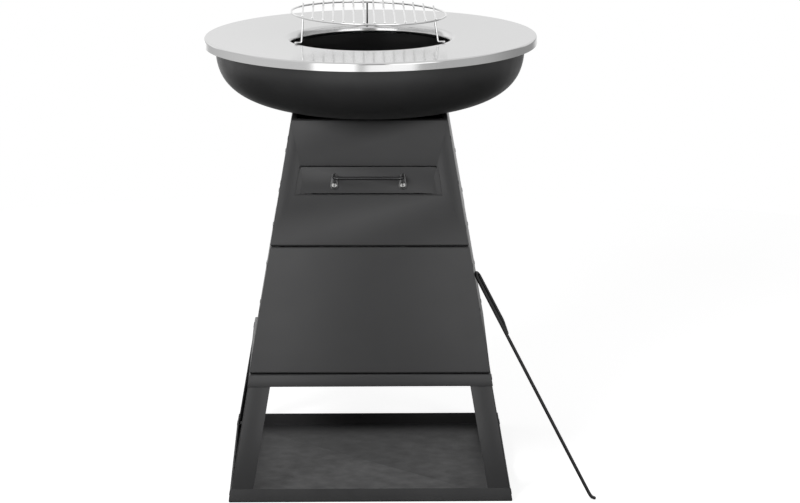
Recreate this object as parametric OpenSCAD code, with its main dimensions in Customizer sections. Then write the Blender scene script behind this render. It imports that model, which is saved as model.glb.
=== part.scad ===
/* [Stand] */
// Half width of the stand where it meets the floor
base_half = 338; // [300:1:380]
// Lean of the four faces from the vertical, degrees
lean = 9.7; // [7:0.1:12]
// Height of the base tray's wall
tray_h = 32; // [20:1:60]
// Underside of the shelf frame's apron
apron_z = 272; // [240:1:290]
// Height of the seam between the shelf frame and the middle tier
shelf_z = 300; // [290:1:340]
// Height of the seam between the middle and the upper tier
middle_z = 598; // [560:1:640]
// Height of the stand's mouth
stand_z = 896; // [860:1:940]
// Thickness of the tray, the shelf frame and the tier panels
panel_t = 2; // [1.5:0.1:3]
// Outside radius of the panels' bends
bend_r = 4; // [3:0.1:6]
// Depth of the flanges at the tier seams
flange_w = 22; // [16:1:30]
// Depth of the flange round the mouth, which the bowl rests on
mouth_flange = 12; // [9:1:18]
// Gap along the mitred corners of the tier panels
mitre_gap = 0.3; // [0.2:0.1:1]
// Turn of the base frame about the grill's middle axis, degrees
base_turn = 0.35; // [-0.6:0.05:0.6]
// How far the base frame stands off to the left
base_shift = 2.8; // [0:0.1:4]
// Turn of the middle tier, degrees
middle_turn = -0.3; // [-0.6:0.05:0.6]
// Turn of the upper tier, degrees
upper_turn = -0.45; // [-0.6:0.05:0.6]
// Width of the legs' flanges
leg_w = 52; // [40:1:60]
// Thickness of the legs
leg_t = 3; // [2:0.1:4]
// Width of the corner angles inside the tiers
angle_w = 20; // [16:1:30]

/* [Drawer] */
// Lower edge of the opening in the upper front panel
opening_z0 = 720.5; // [700:0.5:740]
// Upper edge of the opening
opening_z1 = 788; // [770:0.5:810]
// Distance from the opening's sides to the stand's edges
opening_margin = 41; // [30:1:60]
// How far the opening and the drawer stand off to the left
drawer_shift = 2.4; // [0:0.1:4]
// Depth of the lips folded in round the opening
lip_depth = 16; // [12:1:20]
// How far the drawer front sits behind the panel's face
front_inset = 5; // [3:0.5:7]
// Thickness of the drawer front
front_t = 3; // [2:0.1:4]
// Gap above the drawer front
front_top_gap = 3; // [2:0.1:4]
// Gap at the drawer front's sides and under its lower corners
front_gap = 0.6; // [0.4:0.1:1.5]
// Radius of the opening's upper corners
opening_corner = 6; // [3:0.5:10]
// Width of the relief along the lower edge of the drawer front
relief_w = 300; // [260:1:310]
// Height of that relief
relief_h = 2.6; // [1.5:0.1:4]
// Width of the drawer box
box_w = 296; // [260:1:300]
// Height of the drawer box
box_h = 48; // [40:1:54]
// Depth of the drawer box
box_d = 336; // [280:1:360]
// Thickness of the drawer box
box_t = 1.5; // [1:0.1:2]
// Gap between the drawer box and its runners
runner_gap = 0.5; // [0.3:0.1:1]
// Width of the runners' legs
runner_w = 16; // [12:1:20]
// Distance between the handle's screws
handle_pitch = 162; // [120:1:180]
// Diameter of the handle's rod
handle_d = 8; // [6:0.5:10]
// Distance from the drawer front to the middle of the handle's bar
handle_reach = 36; // [28:1:46]
// Height of the handle's bar
handle_z = 765; // [755:1:770]
// Distance from the bar down to the screws, along the face
handle_drop = 23; // [18:1:26]
// Width of the handle's flattened tabs
tab_w = 20; // [16:1:24]
// Width of the tabs' necks, where the rod leaves them
neck_w = 12; // [10:1:16]
// Thickness of the tabs
tab_t = 3.5; // [3:0.1:5]
// Radius of the bends at the bar's ends
handle_bend = 10; // [6:1:14]

/* [Fire bowl] */
// How far the hot plate stands out past the bowl's wall
plate_over = 29; // [22:1:36]
// Depth of the bowl's curve
bowl_depth = 178.5; // [160:0.5:190]
// Fullness of the bowl's curve
bowl_power = 3.1; // [2.4:0.1:3.4]
// Thickness of the bowl
bowl_t = 3; // [2:0.1:4]
// Width of the rim folded out under the hot plate
bowl_rim = 8; // [5:1:12]
// Diameter of the ash hole in the middle
ash_hole_d = 30; // [20:1:40]
// Diameter of the air holes round it
air_hole_d = 14; // [8:1:18]
// Radius of the ring of air holes
air_ring_r = 70; // [50:1:100]
// Number of air holes
air_holes = 8; // [6:1:12]

/* [Hot plate] */
// Outside radius of the plate
plate_r = 400; // [390:1:420]
// Height of the plate's outer edge
plate_z = 1066; // [1050:1:1080]
// Thickness of the plate
plate_t = 4; // [3:0.1:6]
// Height of the turned-down rim
rim_h = 22; // [16:1:30]
// Outside radius of the rim's bend
rim_bend = 12; // [6:1:16]
// Radius of the centre opening
mouth_r = 190.5; // [180:0.5:200]
// Radius of the rounded lip at the opening
lip_r = 14; // [8:1:18]
// Depth of the lip below the plate
lip_h = 19; // [14:1:24]
// How much lower the plate is at the opening
dish = 4.4; // [2:0.1:8]

/* [Grate] */
// Radius of the wire ring
ring_r = 186; // [178:1:192]
// Height of the ring's wire
ring_z = 1118.8; // [1110:0.1:1125]
// Diameter of the ring's wire
ring_d = 5; // [4:0.1:7]
// Diameter of the bars
bar_d = 4.6; // [3.6:0.1:5]
// Number of bars
bars = 14; // [10:1:18]
// Distance from bar to bar
bar_pitch = 24.3; // [18:0.1:26]
// How far the bars' ends stand past the ring
bar_over = 1.5; // [0.5:0.5:8]
// How far the ring stands off the middle, to the left
ring_shift = 2.2; // [0:0.1:2.5]
// Turn of the ring and its bars, degrees
ring_turn = 0.8; // [0:0.1:2]
// How much the ring's left side stands up, degrees
ring_roll = 1.35; // [0:0.05:1.5]
// How much the ring's front stands up, degrees
ring_pitch = 0.35; // [0:0.05:0.6]
// Where the rear leg stands, in degrees from the right
rear_leg_at = 91.8; // [88:0.1:93]
// Diameter of the legs' wire
foot_d = 5; // [4:0.1:6]
// Radius of the bend above each foot
foot_bend = 5; // [3.5:0.5:8]
// How much thicker the wire is at the ends of that bend
foot_knot = 0.3; // [0.1:0.1:0.6]
// Slope of the feet on the lip, degrees
foot_slope = 6; // [3:1:12]
// Radius at which the legs go down inside the plate's opening
foot_in = 187.2; // [180:0.1:187.5]
// Radius that the feet's ends reach
foot_r = 204; // [202:1:210]

/* [Poker] */
// Diameter of the poker's rod
poker_d = 8; // [6:0.5:10]
// Length of the rod from the loop's top to the hook's bend
poker_l = 587.5; // [560:0.5:600]
// Steepness of the poker, degrees
poker_steep = 61.2; // [60:0.1:65]
// Turn of the poker towards the front, degrees
poker_turn = -17.1; // [-20:0.1:0]
// Distance from the stand's front edge to the loop's top
poker_in = 32.5; // [24:0.5:60]
// Width of the loop, middle to middle
loop_w = 26; // [20:1:36]
// Length of the loop
loop_l = 172; // [140:1:190]
// Roll of the loop about the rod, degrees
poker_roll = -4; // [-20:1:10]
// Roll of the hook about the rod, degrees
hook_roll = -29; // [-40:1:0]
// How much wider the forged knots between the rod's bends are
knot = 0.4; // [0.2:0.1:1]
// Length of the hook after its bend
hook_l = 24; // [18:1:36]
// Turn of the hook's bend, degrees
hook_turn = 88; // [70:1:92]
// Radius of the hook's bend
hook_bend = 14; // [10:1:20]

/* [Fits and fasteners] */
// Gap between parts that rest on each other and lift off
rest_gap = 0.3; // [0.2:0.05:0.6]
// Gap round a screw in its hole
hole_gap = 0.25; // [0.15:0.05:0.5]
// Diameter of the panel screws
screw_d = 5; // [4:0.5:6]
// Diameter of the panel screws' heads
screw_head_d = 10; // [8:0.5:12]
// Height of the flat heads of the panel screws and the leg bolts
flat_head_h = 1; // [0.8:0.1:2]
// Diameter of the leg bolts
bolt_d = 6; // [5:0.5:8]
// Diameter of the leg bolts' heads
bolt_head_d = 14; // [11:0.5:16]
// Width across the flats of the leg bolts' nuts
bolt_af = 10; // [9:0.5:13]
// Diameter of the handle's screws
handle_screw_d = 5; // [4:0.5:6]
// Diameter of the handle screws' heads
handle_head_d = 14; // [10:0.5:16]
// Height of the handle screws' heads
handle_head_h = 4; // [2.5:0.1:5]

/* [Smoothness] */
// Steps of the large round parts
large_fn = 180; // [96:12:240]
// Steps of wires and screws
small_fn = 24; // [16:4:48]
// Steps of each bend of a sheet
bend_steps = 4; // [2:1:8]

/* [Hidden] */
tilt = tan(lean);
face_t = panel_t / cos(lean);
big = 2 * base_half + 40;
angle_t = 2;
hair = 0.02;
tier_z = [shelf_z, middle_z, stand_z];
face_inset = front_inset / cos(lean);
front_back = (front_inset + front_t) / cos(lean);
bar_v = handle_z / cos(lean);
screw_v = bar_v - handle_drop;
runner_t = 2;
box_z = opening_z0 + hair + runner_t + rest_gap;
seat_r = half_at(stand_z) - mouth_flange;
stack_turn = [base_turn, middle_turn, upper_turn];
bowl_r = plate_r - plate_over;
bowl_top_z = stand_z + rest_gap + bowl_depth * pow(1 - pow(seat_r / bowl_r, bowl_power), 1 / bowl_power);
dish_slope = dish / (plate_r - mouth_r);
rim_top_z = plate_under(bowl_r - bowl_t) - rest_gap;
lip_c = [mouth_r + lip_r, plate_z - dish_slope * (plate_r - mouth_r - lip_r) - lip_r];
foot_off = lip_r + rest_gap + (foot_d + foot_knot) / 2;
foot_touch = lip_c + foot_off * [-sin(foot_slope), cos(foot_slope)];
ring_n = spin_y([0, -sin(ring_pitch), cos(ring_pitch)], ring_roll);
hook_end = hook_point(hook_bend, hook_turn, hook_l);
hook_path = [for (i = [0:12]) hook_point(hook_bend, hook_turn * i / 12, i == 12 ? hook_l : 0)];
hook_low = min([for (p = hook_path) dir_of([p[0], -p[1], 0], hook_roll)[2]]);
poker_z = poker_d / 2 + rest_gap - poker_l * dir_of([1, 0, 0], 0)[2] - hook_low;
poker_y = -half_at(poker_z) + poker_in;
panel_n = [cos(lean), 0, sin(lean)];
loop_c = dir_of([loop_w / 2, loop_w / 2, 0], poker_roll);
loop_x = panel_n * dir_of([1, 0, 0], poker_roll);
loop_y = panel_n * dir_of([0, 1, 0], poker_roll);
loop_reach = loop_w / 2 * sqrt(loop_x * loop_x + loop_y * loop_y) + poker_d / 2;
wall_n = base_half * cos(lean) + rest_gap;
poker_x = (wall_n + loop_reach - panel_n * loop_c - panel_n[2] * poker_z) / panel_n[0];

function half_at(z) = base_half - z * tilt;
function plate_under(r) = plate_z - dish_slope * (plate_r - r) - plate_t;
function unit(v) = v / norm(v);
function cross2(a, b) = a[0] * b[1] - a[1] * b[0];
function left_of(v) = [-v[1], v[0]];

// where the hook's end lies, seen from the start of its bend, as distance along and across
function hook_point(r, turn, l) = [r * sin(turn) + l * cos(turn), r * (1 - cos(turn)) + l * sin(turn)];

// turns a direction of the poker's own frame into the stand's frame
function dir_of(v, roll) = spin_z(spin_y(spin_x(v, roll), poker_steep), poker_turn);
function spin_x(v, a) = [v[0], v[1] * cos(a) - v[2] * sin(a), v[1] * sin(a) + v[2] * cos(a)];
function spin_y(v, a) = [v[0] * cos(a) + v[2] * sin(a), v[1], -v[0] * sin(a) + v[2] * cos(a)];
function spin_z(v, a) = [v[0] * cos(a) - v[1] * sin(a), v[0] * sin(a) + v[1] * cos(a), v[2]];

// points of the round that replaces corner q between p and s
function corner(p, q, s, r, n) =
    let(u = unit(p - q))
    let(w = unit(s - q))
    let(h = acos(max(-1, min(1, u * w))) / 2)
    let(c = q + unit(u + w) * r / sin(h))
    let(a = q + u * r / tan(h) - c)
    let(b = q + w * r / tan(h) - c)
    let(a0 = atan2(a[1], a[0]))
    let(da = (atan2(b[1], b[0]) - a0 + 540) % 360 - 180)
    [for (i = [0:n]) c + r * [cos(a0 + da * i / n), sin(a0 + da * i / n)]];

// an open path with its inner corners rounded
function rounded(pts, radii, n) = [for (i = [0:len(pts) - 1])
    each (i == 0 || i == len(pts) - 1 || radii[i] <= 0
        ? [pts[i]] : corner(pts[i - 1], pts[i], pts[i + 1], radii[i], n))];

// a closed outline with rounded corners
function rounded_ring(pts, radii, n) = [for (i = [0:len(pts) - 1])
    each (radii[i] <= 0 ? [pts[i]]
        : corner(pts[(i + len(pts) - 1) % len(pts)], pts[i], pts[(i + 1) % len(pts)], radii[i], n))];

// the path moved sideways by t, to its left
function beside(pts, t) = [for (i = [0:len(pts) - 1])
    let(e1 = unit(i == 0 ? pts[1] - pts[0] : pts[i] - pts[i - 1]))
    let(e2 = unit(i == len(pts) - 1 ? pts[i] - pts[i - 1] : pts[i + 1] - pts[i]))
    pts[i] + t * (left_of(e1) + left_of(e2)) / (1 + e1 * e2)];

function beside_radii(pts, radii, t) = [for (i = [0:len(pts) - 1])
    i == 0 || i == len(pts) - 1 ? 0
        : max(0.3, radii[i] - t * sign(cross2(pts[i] - pts[i - 1], pts[i + 1] - pts[i])))];

// outline of a bent sheet, t thick to the left of its path
function sheet_outline(pts, radii, t, n) = concat(rounded(pts, radii, n),
    let(back = rounded(beside(pts, t), beside_radii(pts, radii, t), n))
    [for (i = [len(back) - 1:-1:0]) back[i]]);

// a shape given across the front, run from front to back
module across_front() {
    rotate([90, 0, 0])
        linear_extrude(height = big, center = true)
            children();
}

// a shape given across the side, run from left to right
module across_side() {
    rotate([90, 0, 90])
        linear_extrude(height = big, center = true)
            children();
}

function band(z0, z1, in) = [[-half_at(z0) + in, z0], [half_at(z0) - in, z0],
    [half_at(z1) - in, z1], [-half_at(z1) + in, z1]];

// the stand's outline between two heights, drawn in from its faces
module taper(z0, z1, in) {
    intersection() {
        across_front()
            polygon(band(z0, z1, in));
        across_side()
            polygon(band(z0, z1, in));
    }
}

// the same with rounded lower and upper edges
module soft_taper(z0, z1, in, r0, r1) {
    intersection() {
        across_front()
            polygon(rounded_ring(band(z0, z1, in), [r0, r0, r1, r1], bend_steps));
        across_side()
            polygon(rounded_ring(band(z0, z1, in), [r0, r0, r1, r1], bend_steps));
    }
}

// a part of the front face turned to another side: 0 front, 1 right, 2 rear, 3 left
module to_side(side) {
    rotate([0, 0, 90 * side])
        children();
}

// the front face's own plane: x across, y up the face, z out of it
module on_face() {
    translate([0, -base_half, 0])
        rotate([90 - lean, 0, 0])
            children();
}

module on_side(side) {
    to_side(side)
        on_face()
            children();
}

// the place of one stack of the stand: 0 base frame, 1 middle tier, 2 upper tier
module at_tier(k) {
    translate([k == 0 ? -base_shift : 0, 0, 0])
        rotate([0, 0, stack_turn[k]])
            children();
}

// the drawer's place in the upper tier
module at_drawer() {
    at_tier(2)
        translate([-drawer_shift, 0, 0])
            children();
}

// one quarter of a square ring, cut along its mitres
module quarter(z0, z1) {
    translate([0, 0, z0])
        linear_extrude(height = z1 - z0)
            polygon([[0, -mitre_gap / 2 * sqrt(2)], [-big / 2, -big / 2 - mitre_gap / 2 * sqrt(2)],
                [big / 2, -big / 2 - mitre_gap / 2 * sqrt(2)]]);
}

module tier_shell(z0, z1, top_flange) {
    difference() {
        soft_taper(z0 + hair, z1, 0, bend_r, bend_r);
        soft_taper(z0 + panel_t + hair, z1 - panel_t, face_t, bend_r - panel_t, bend_r - panel_t);
        translate([0, 0, z1])
            cube([2 * (half_at(z1) - top_flange), 2 * (half_at(z1) - top_flange), 30], center = true);
        translate([0, 0, z0])
            cube([2 * (half_at(z0) - flange_w), 2 * (half_at(z0) - flange_w), 30], center = true);
    }
}

function screw_heights(z0, z1) = [z0 + 45, (z0 + z1) / 2, z1 - 45];

// places of the panel screws on one side, near both of its edges
module at_screws(side, z0, z1) {
    for (z = screw_heights(z0, z1), s = [-1, 1])
        on_side(side)
            translate([s * (half_at(z) - face_t - angle_w / 2 - 1), z / cos(lean), 0])
                children();
}

module tier_panel(side, z0, z1, top_flange) {
    difference() {
        intersection() {
            tier_shell(z0, z1, top_flange);
            to_side(side)
                quarter(z0 - 1, z1 + 1);
        }
        if (side == 1 || side == 3)
            at_screws(side, z0, z1)
                cylinder(d = screw_d + 2 * hole_gap, h = 20, center = true, $fn = small_fn);
    }
}

module corner_angles(z0, z1) {
    difference() {
        for (sx = [-1, 1], sy = [-1, 1])
            scale_corner(sx, sy)
                intersection() {
                    difference() {
                        taper(z0 + panel_t + 3, z1 - panel_t - 3, face_t + hair);
                        taper(z0, z1, face_t + angle_t);
                    }
                    corner_column(z0, z1, face_t, angle_w);
                }
        for (side = [1, 3])
            at_screws(side, z0, z1)
                cylinder(d = screw_d + 2 * hole_gap, h = 30, center = true, $fn = small_fn);
    }
}

// the right front corner's place, mirrored to another corner
module scale_corner(sx, sy) {
    mirror([sx < 0 ? 1 : 0, 0, 0])
        mirror([0, sy > 0 ? 1 : 0, 0])
            children();
}

// the space within w of the right front corner
module corner_column(z0, z1, in, w) {
    h0 = half_at(z0);
    h1 = half_at(z1);
    intersection() {
        across_front()
            polygon([[h0 - in - w, z0], [h0, z0], [h1, z1], [h1 - in - w, z1]]);
        across_side()
            polygon([[-h0 + in + w, z0], [-h0, z0], [-h1, z1], [-h1 + in + w, z1]]);
    }
}

module base_tray() {
    color("dimgray")
        at_tier(0)
            difference() {
                soft_taper(0, tray_h + 20, 0, bend_r, 0);
                soft_taper(panel_t, tray_h + 40, face_t, bend_r - panel_t, 0);
                translate([0, 0, tray_h + 20])
                    cube([big, big, 40], center = true);
                at_bolts(tray_h / 2)
                    cylinder(d = bolt_d + 2 * hole_gap, h = 20, center = true, $fn = small_fn);
            }
}

// places of the leg bolts at one height, on the left and right sides
module at_bolts(z) {
    for (side = [1, 3], s = [-1, 1])
        on_side(side)
            translate([s * (half_at(z) - face_t - leg_w * 0.55), z / cos(lean), 0])
                children();
}

module leg(sx, sy) {
    color("dimgray")
        at_tier(0)
            difference() {
                scale_corner(sx, sy)
                    intersection() {
                        difference() {
                            taper(panel_t + hair, shelf_z - panel_t - hair, face_t + hair);
                            taper(0, shelf_z, face_t + leg_t / cos(lean));
                            foot_room();
                        }
                        corner_column(0, shelf_z, face_t, leg_w);
                    }
                for (z = [tray_h / 2, (apron_z + shelf_z) / 2])
                    at_bolts(z)
                        cylinder(d = bolt_d + 2 * hole_gap, h = 30, center = true, $fn = small_fn);
            }
}

// room that the legs leave for the inside bends of the tray and the shelf frame
module foot_room() {
    difference() {
        taper(0, shelf_z, 0);
        soft_taper(panel_t, shelf_z - panel_t, face_t, bend_r - panel_t + 0.6, bend_r - panel_t + 0.6);
    }
}

module leg_front_left() {
    leg(-1, -1);
}

module leg_front_right() {
    leg(1, -1);
}

module leg_rear_left() {
    leg(-1, 1);
}

module leg_rear_right() {
    leg(1, 1);
}

module hexagon(af, h) {
    linear_extrude(height = h)
        polygon([for (i = [0:5]) af / 2 / cos(30) * [cos(60 * i), sin(60 * i)]]);
}

module flat_head(d) {
    translate([0, 0, 0.02])
        cylinder(d1 = d, d2 = d - flat_head_h, h = flat_head_h, $fn = small_fn);
}

module leg_bolts() {
    color("dimgray")
        at_tier(0)
            for (z = [tray_h / 2, (apron_z + shelf_z) / 2])
                at_bolts(z) {
                    flat_head(bolt_head_d);
                    translate([0, 0, -panel_t - leg_t - bolt_d - 2])
                        cylinder(d = bolt_d, h = panel_t + leg_t + bolt_d + 2.5, $fn = small_fn);
                }
}

module leg_nuts() {
    color("dimgray")
        at_tier(0)
            for (z = [tray_h / 2, (apron_z + shelf_z) / 2])
                at_bolts(z)
                    translate([0, 0, -panel_t - leg_t - bolt_d * 0.8 - 0.05])
                        difference() {
                            hexagon(bolt_af, bolt_d * 0.8);
                            translate([0, 0, -1])
                                cylinder(d = bolt_d + 0.04, h = bolt_d + 2, $fn = small_fn);
                        }
}

module shelf_frame() {
    color("dimgray")
        at_tier(0)
            difference() {
                soft_taper(apron_z - 20, shelf_z, 0, 0, bend_r);
                soft_taper(apron_z - 40, shelf_z - panel_t, face_t, 0, bend_r - panel_t);
                translate([0, 0, apron_z - 20])
                    cube([big, big, 40], center = true);
                at_bolts((apron_z + shelf_z) / 2)
                    cylinder(d = bolt_d + 2 * hole_gap, h = 20, center = true, $fn = small_fn);
            }
}

module middle_front_panel() {
    color("dimgray")
        at_tier(1)
            tier_panel(0, shelf_z, middle_z, flange_w);
}

module middle_right_panel() {
    color("dimgray")
        at_tier(1)
            tier_panel(1, shelf_z, middle_z, flange_w);
}

module middle_rear_panel() {
    color("dimgray")
        at_tier(1)
            tier_panel(2, shelf_z, middle_z, flange_w);
}

module middle_left_panel() {
    color("dimgray")
        at_tier(1)
            tier_panel(3, shelf_z, middle_z, flange_w);
}

module middle_corner_angles() {
    color("dimgray")
        at_tier(1)
            corner_angles(shelf_z, middle_z);
}

// the opening's outline seen from the front, drawn in by g and by g_top above
function opening_outline(g, g_top) = rounded_ring([
    [-half_at(opening_z0) + opening_margin + g, opening_z0 + g],
    [half_at(opening_z0) - opening_margin - g, opening_z0 + g],
    [half_at(opening_z1) - opening_margin - g, opening_z1 - g_top],
    [-half_at(opening_z1) + opening_margin + g, opening_z1 - g_top]],
    [0, 0, opening_corner - g, opening_corner - g], 2 * bend_steps);

module opening_prism(g) {
    translate([-drawer_shift, 0, 0])
        across_front()
            polygon(opening_outline(g, g));
}

// a layer of the front face, from d0 to d1 behind it
module face_layer(d0, d1) {
    on_face()
        translate([-base_half, 0, -d1])
            cube([2 * base_half, stand_z + 60, d1 - d0]);
}

module upper_front_panel() {
    color("dimgray")
        at_tier(2)
            difference() {
                union() {
                    tier_panel(0, middle_z, stand_z, mouth_flange);
                    intersection() {
                        face_layer(0, lip_depth);
                        opening_prism(-panel_t);
                    }
                }
                opening_prism(0);
            }
}

module upper_right_panel() {
    color("dimgray")
        at_tier(2)
            tier_panel(1, middle_z, stand_z, mouth_flange);
}

module upper_rear_panel() {
    color("dimgray")
        at_tier(2)
            tier_panel(2, middle_z, stand_z, mouth_flange);
}

module upper_left_panel() {
    color("dimgray")
        at_tier(2)
            tier_panel(3, middle_z, stand_z, mouth_flange);
}

module upper_corner_angles() {
    color("dimgray")
        at_tier(2)
            corner_angles(middle_z, stand_z);
}

module panel_screws() {
    color("dimgray")
        for (tier = [0, 1], side = [1, 3])
            at_tier(tier + 1)
                at_screws(side, tier_z[tier], tier_z[tier + 1]) {
                    difference() {
                        flat_head(screw_head_d);
                        translate([0, 0, flat_head_h * 0.4])
                            hexagon(3, 5);
                    }
                    translate([0, 0, -panel_t - angle_t - screw_d - 1])
                        cylinder(d = screw_d, h = panel_t + angle_t + screw_d + 1.3, $fn = small_fn);
                }
}

module panel_nuts() {
    color("dimgray")
        for (tier = [0, 1], side = [1, 3])
            at_tier(tier + 1)
                at_screws(side, tier_z[tier], tier_z[tier + 1])
                    translate([0, 0, -panel_t - angle_t - screw_d * 0.8 - 0.05])
                        difference() {
                            hexagon(8, screw_d * 0.8);
                            translate([0, 0, -1])
                                cylinder(d = screw_d + 0.04, h = screw_d + 2, $fn = small_fn);
                        }
}

module drawer_runner(s) {
    color("dimgray")
        at_drawer()
            difference() {
                intersection() {
                    taper(box_z - 10, box_z + 40, face_t + 0.05);
                    translate([s * (box_w / 2 + runner_gap), 0, box_z - rest_gap])
                        mirror([s < 0 ? 1 : 0, 0, 0])
                            rotate([90, 0, 0])
                                linear_extrude(height = big, center = true)
                                    polygon(sheet_outline([[-runner_w, 0], [0, 0], [0, runner_w]],
                                        [0, 1, 0], -runner_t, bend_steps));
                }
                face_layer(-10, front_inset + front_t + 0.6);
            }
}

module drawer_runner_left() {
    drawer_runner(-1);
}

module drawer_runner_right() {
    drawer_runner(1);
}

// a drawer's outline seen from its side, its front leaning with the stand
function drawer_side(y0, y1, z, h) = [[y0, z], [y1, z], [y1, z + h], [y0 + h * tilt, z + h]];

module ash_drawer() {
    y0 = -half_at(box_z) + front_back + hair;
    color("gray")
        at_drawer()
            difference() {
                rotate([90, 0, 90])
                    linear_extrude(height = box_w, center = true)
                        polygon(drawer_side(y0, y0 + box_d, box_z, box_h));
                rotate([90, 0, 90])
                    linear_extrude(height = box_w - 2 * box_t, center = true)
                        polygon(drawer_side(y0 + box_t * (1 + tilt), y0 + box_d - box_t,
                            box_z + box_t, box_h));
                at_handle_screws(-20)
                    cylinder(d = 13, h = 20, $fn = small_fn);
            }
}

module drawer_front() {
    color("dimgray")
        at_drawer()
            difference() {
                intersection() {
                    face_layer(front_inset, front_inset + front_t);
                    across_front()
                        polygon(opening_outline(front_gap, front_top_gap));
                }
                across_front()
                    translate([-relief_w / 2, opening_z0 - 5])
                        square([relief_w, 5 + front_gap + relief_h]);
                at_handle_screws(-front_t - 1)
                    cylinder(d = handle_screw_d + 2 * hole_gap, h = front_t + 2, $fn = small_fn);
            }
}

// places of the handle's screws, h out from the drawer front's face
module at_handle_screws(h) {
    for (s = [-1, 1])
        on_face()
            translate([s * handle_pitch / 2, screw_v, h - front_inset])
                children();
}

// a straight rod with a rounded far end
module round_bar(d, l) {
    rotate_extrude($fn = small_fn)
        polygon(concat([[0, 0], [d / 2, 0]], [for (i = [0:5]) [d / 2 * cos(15 * i), l + d / 2 * sin(15 * i)]],
            [[0, l + d / 2]]));
}

// a bent rod in one plane, its far end round if asked, its bends' ends thicker by knots
module rod(pts, r, d, round_end = false, knots = 0) {
    last = len(pts) - 1;
    for (i = [0:last - 1]) {
        u = unit(pts[i + 1] - pts[i]);
        a = i == 0 ? pts[i] : pts[i] + u * cut_back(pts, i, r);
        b = i == last - 1 ? pts[i + 1] : pts[i + 1] - u * cut_back(pts, i + 1, r);
        translate(a)
            rotate([0, 0, atan2(u[1], u[0])])
                rotate([0, 90, 0])
                    if (round_end && i == last - 1)
                        round_bar(d, norm(b - a));
                    else
                        cylinder(d = d, h = norm(b - a), $fn = small_fn);
    }
    for (i = [1:1:last - 1]) {
        elbow(pts[i - 1], pts[i], pts[i + 1], r, d);
        if (knots > 0)
            for (e = elbow_ends(pts[i - 1], pts[i], pts[i + 1], r))
                translate(e)
                    sphere(d = d + knots, $fn = small_fn);
    }
}

function cut_back(pts, i, r) = r / tan(acos(unit(pts[i - 1] - pts[i]) * unit(pts[i + 1] - pts[i])) / 2);

// both ends of the bend at corner q
function elbow_ends(p, q, s, r) =
    let(t = r / tan(acos(unit(p - q) * unit(s - q)) / 2))
    [q + unit(p - q) * t, q + unit(s - q) * t];

module elbow(p, q, s, r, d) {
    u = unit(p - q);
    w = unit(s - q);
    h = acos(u * w) / 2;
    c = q + unit(u + w) * r / sin(h);
    a = q + u * r / tan(h) - c;
    b = q + w * r / tan(h) - c;
    a0 = atan2(a[1], a[0]);
    da = (atan2(b[1], b[0]) - a0 + 540) % 360 - 180;
    translate(c)
        rotate([0, 0, da < 0 ? a0 + da : a0])
            rotate_extrude(angle = abs(da), $fn = 4 * small_fn)
                translate([r, 0])
                    circle(d = d, $fn = small_fn);
}

// outline of one flattened tab: round at the screw, narrower at the bend
module tab_outline() {
    union() {
        translate([0, screw_v])
            circle(d = tab_w, $fn = 2 * small_fn);
        polygon([[-tab_w / 2, screw_v], [tab_w / 2, screw_v], [neck_w / 2, bar_v], [-neck_w / 2, bar_v]]);
        translate([0, bar_v])
            circle(d = neck_w, $fn = 2 * small_fn);
    }
}

function handle_path(x, y_out, y_in) = [[-x, y_in], [-x, y_out], [x, y_out], [x, y_in]];

module drawer_handle() {
    arm_y = -half_at(handle_z) + face_inset;
    color("black")
        at_drawer() {
            on_face()
                for (s = [-1, 1])
                    translate([s * handle_pitch / 2, 0, hair - front_inset])
                        difference() {
                            linear_extrude(height = tab_t)
                                tab_outline();
                            translate([0, screw_v, -1])
                                cylinder(d = handle_screw_d + 2 * hole_gap, h = tab_t + 2, $fn = small_fn);
                        }
            translate([0, arm_y, handle_z])
                rod(handle_path(handle_pitch / 2, -handle_reach, -tab_t * 0.7), handle_bend, handle_d);
        }
}

// half outline of a domed head with a straight rim
function dome(r, rim, h) = concat([[r, 0]], [for (a = [0:15:90]) [r * cos(a), rim + (h - rim) * sin(a)]]);

module handle_screws() {
    color("silver")
        at_drawer()
            at_handle_screws(tab_t + 0.04) {
                difference() {
                    rotate_extrude($fn = 2 * small_fn)
                        polygon(concat([[0, 0]], dome(handle_head_d / 2, 0.8, handle_head_h)));
                    for (a = [0, 90])
                        rotate([0, 0, a])
                            translate([-3.2, -0.7, handle_head_h - 1.8])
                                cube([6.4, 1.4, 4]);
                }
                translate([0, 0, -tab_t - front_t - 7])
                    cylinder(d = handle_screw_d, h = tab_t + front_t + 7.2, $fn = small_fn);
            }
}

module handle_nuts() {
    color("silver")
        at_drawer()
            at_handle_screws(-front_t - handle_screw_d * 0.8 - 0.05)
                difference() {
                    hexagon(8, handle_screw_d * 0.8);
                    translate([0, 0, -1])
                        cylinder(d = handle_screw_d + 0.04, h = handle_screw_d + 2, $fn = small_fn);
                }
}

function bowl_point(r, power, z_top, depth, x) = [r * pow(1 - pow(x, power), 1 / power), z_top - depth * x];

// fractions of the bowl's depth, closer together where the curve turns
bowl_x = [for (i = [0:26]) sin(90 * i / 26)];

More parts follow.
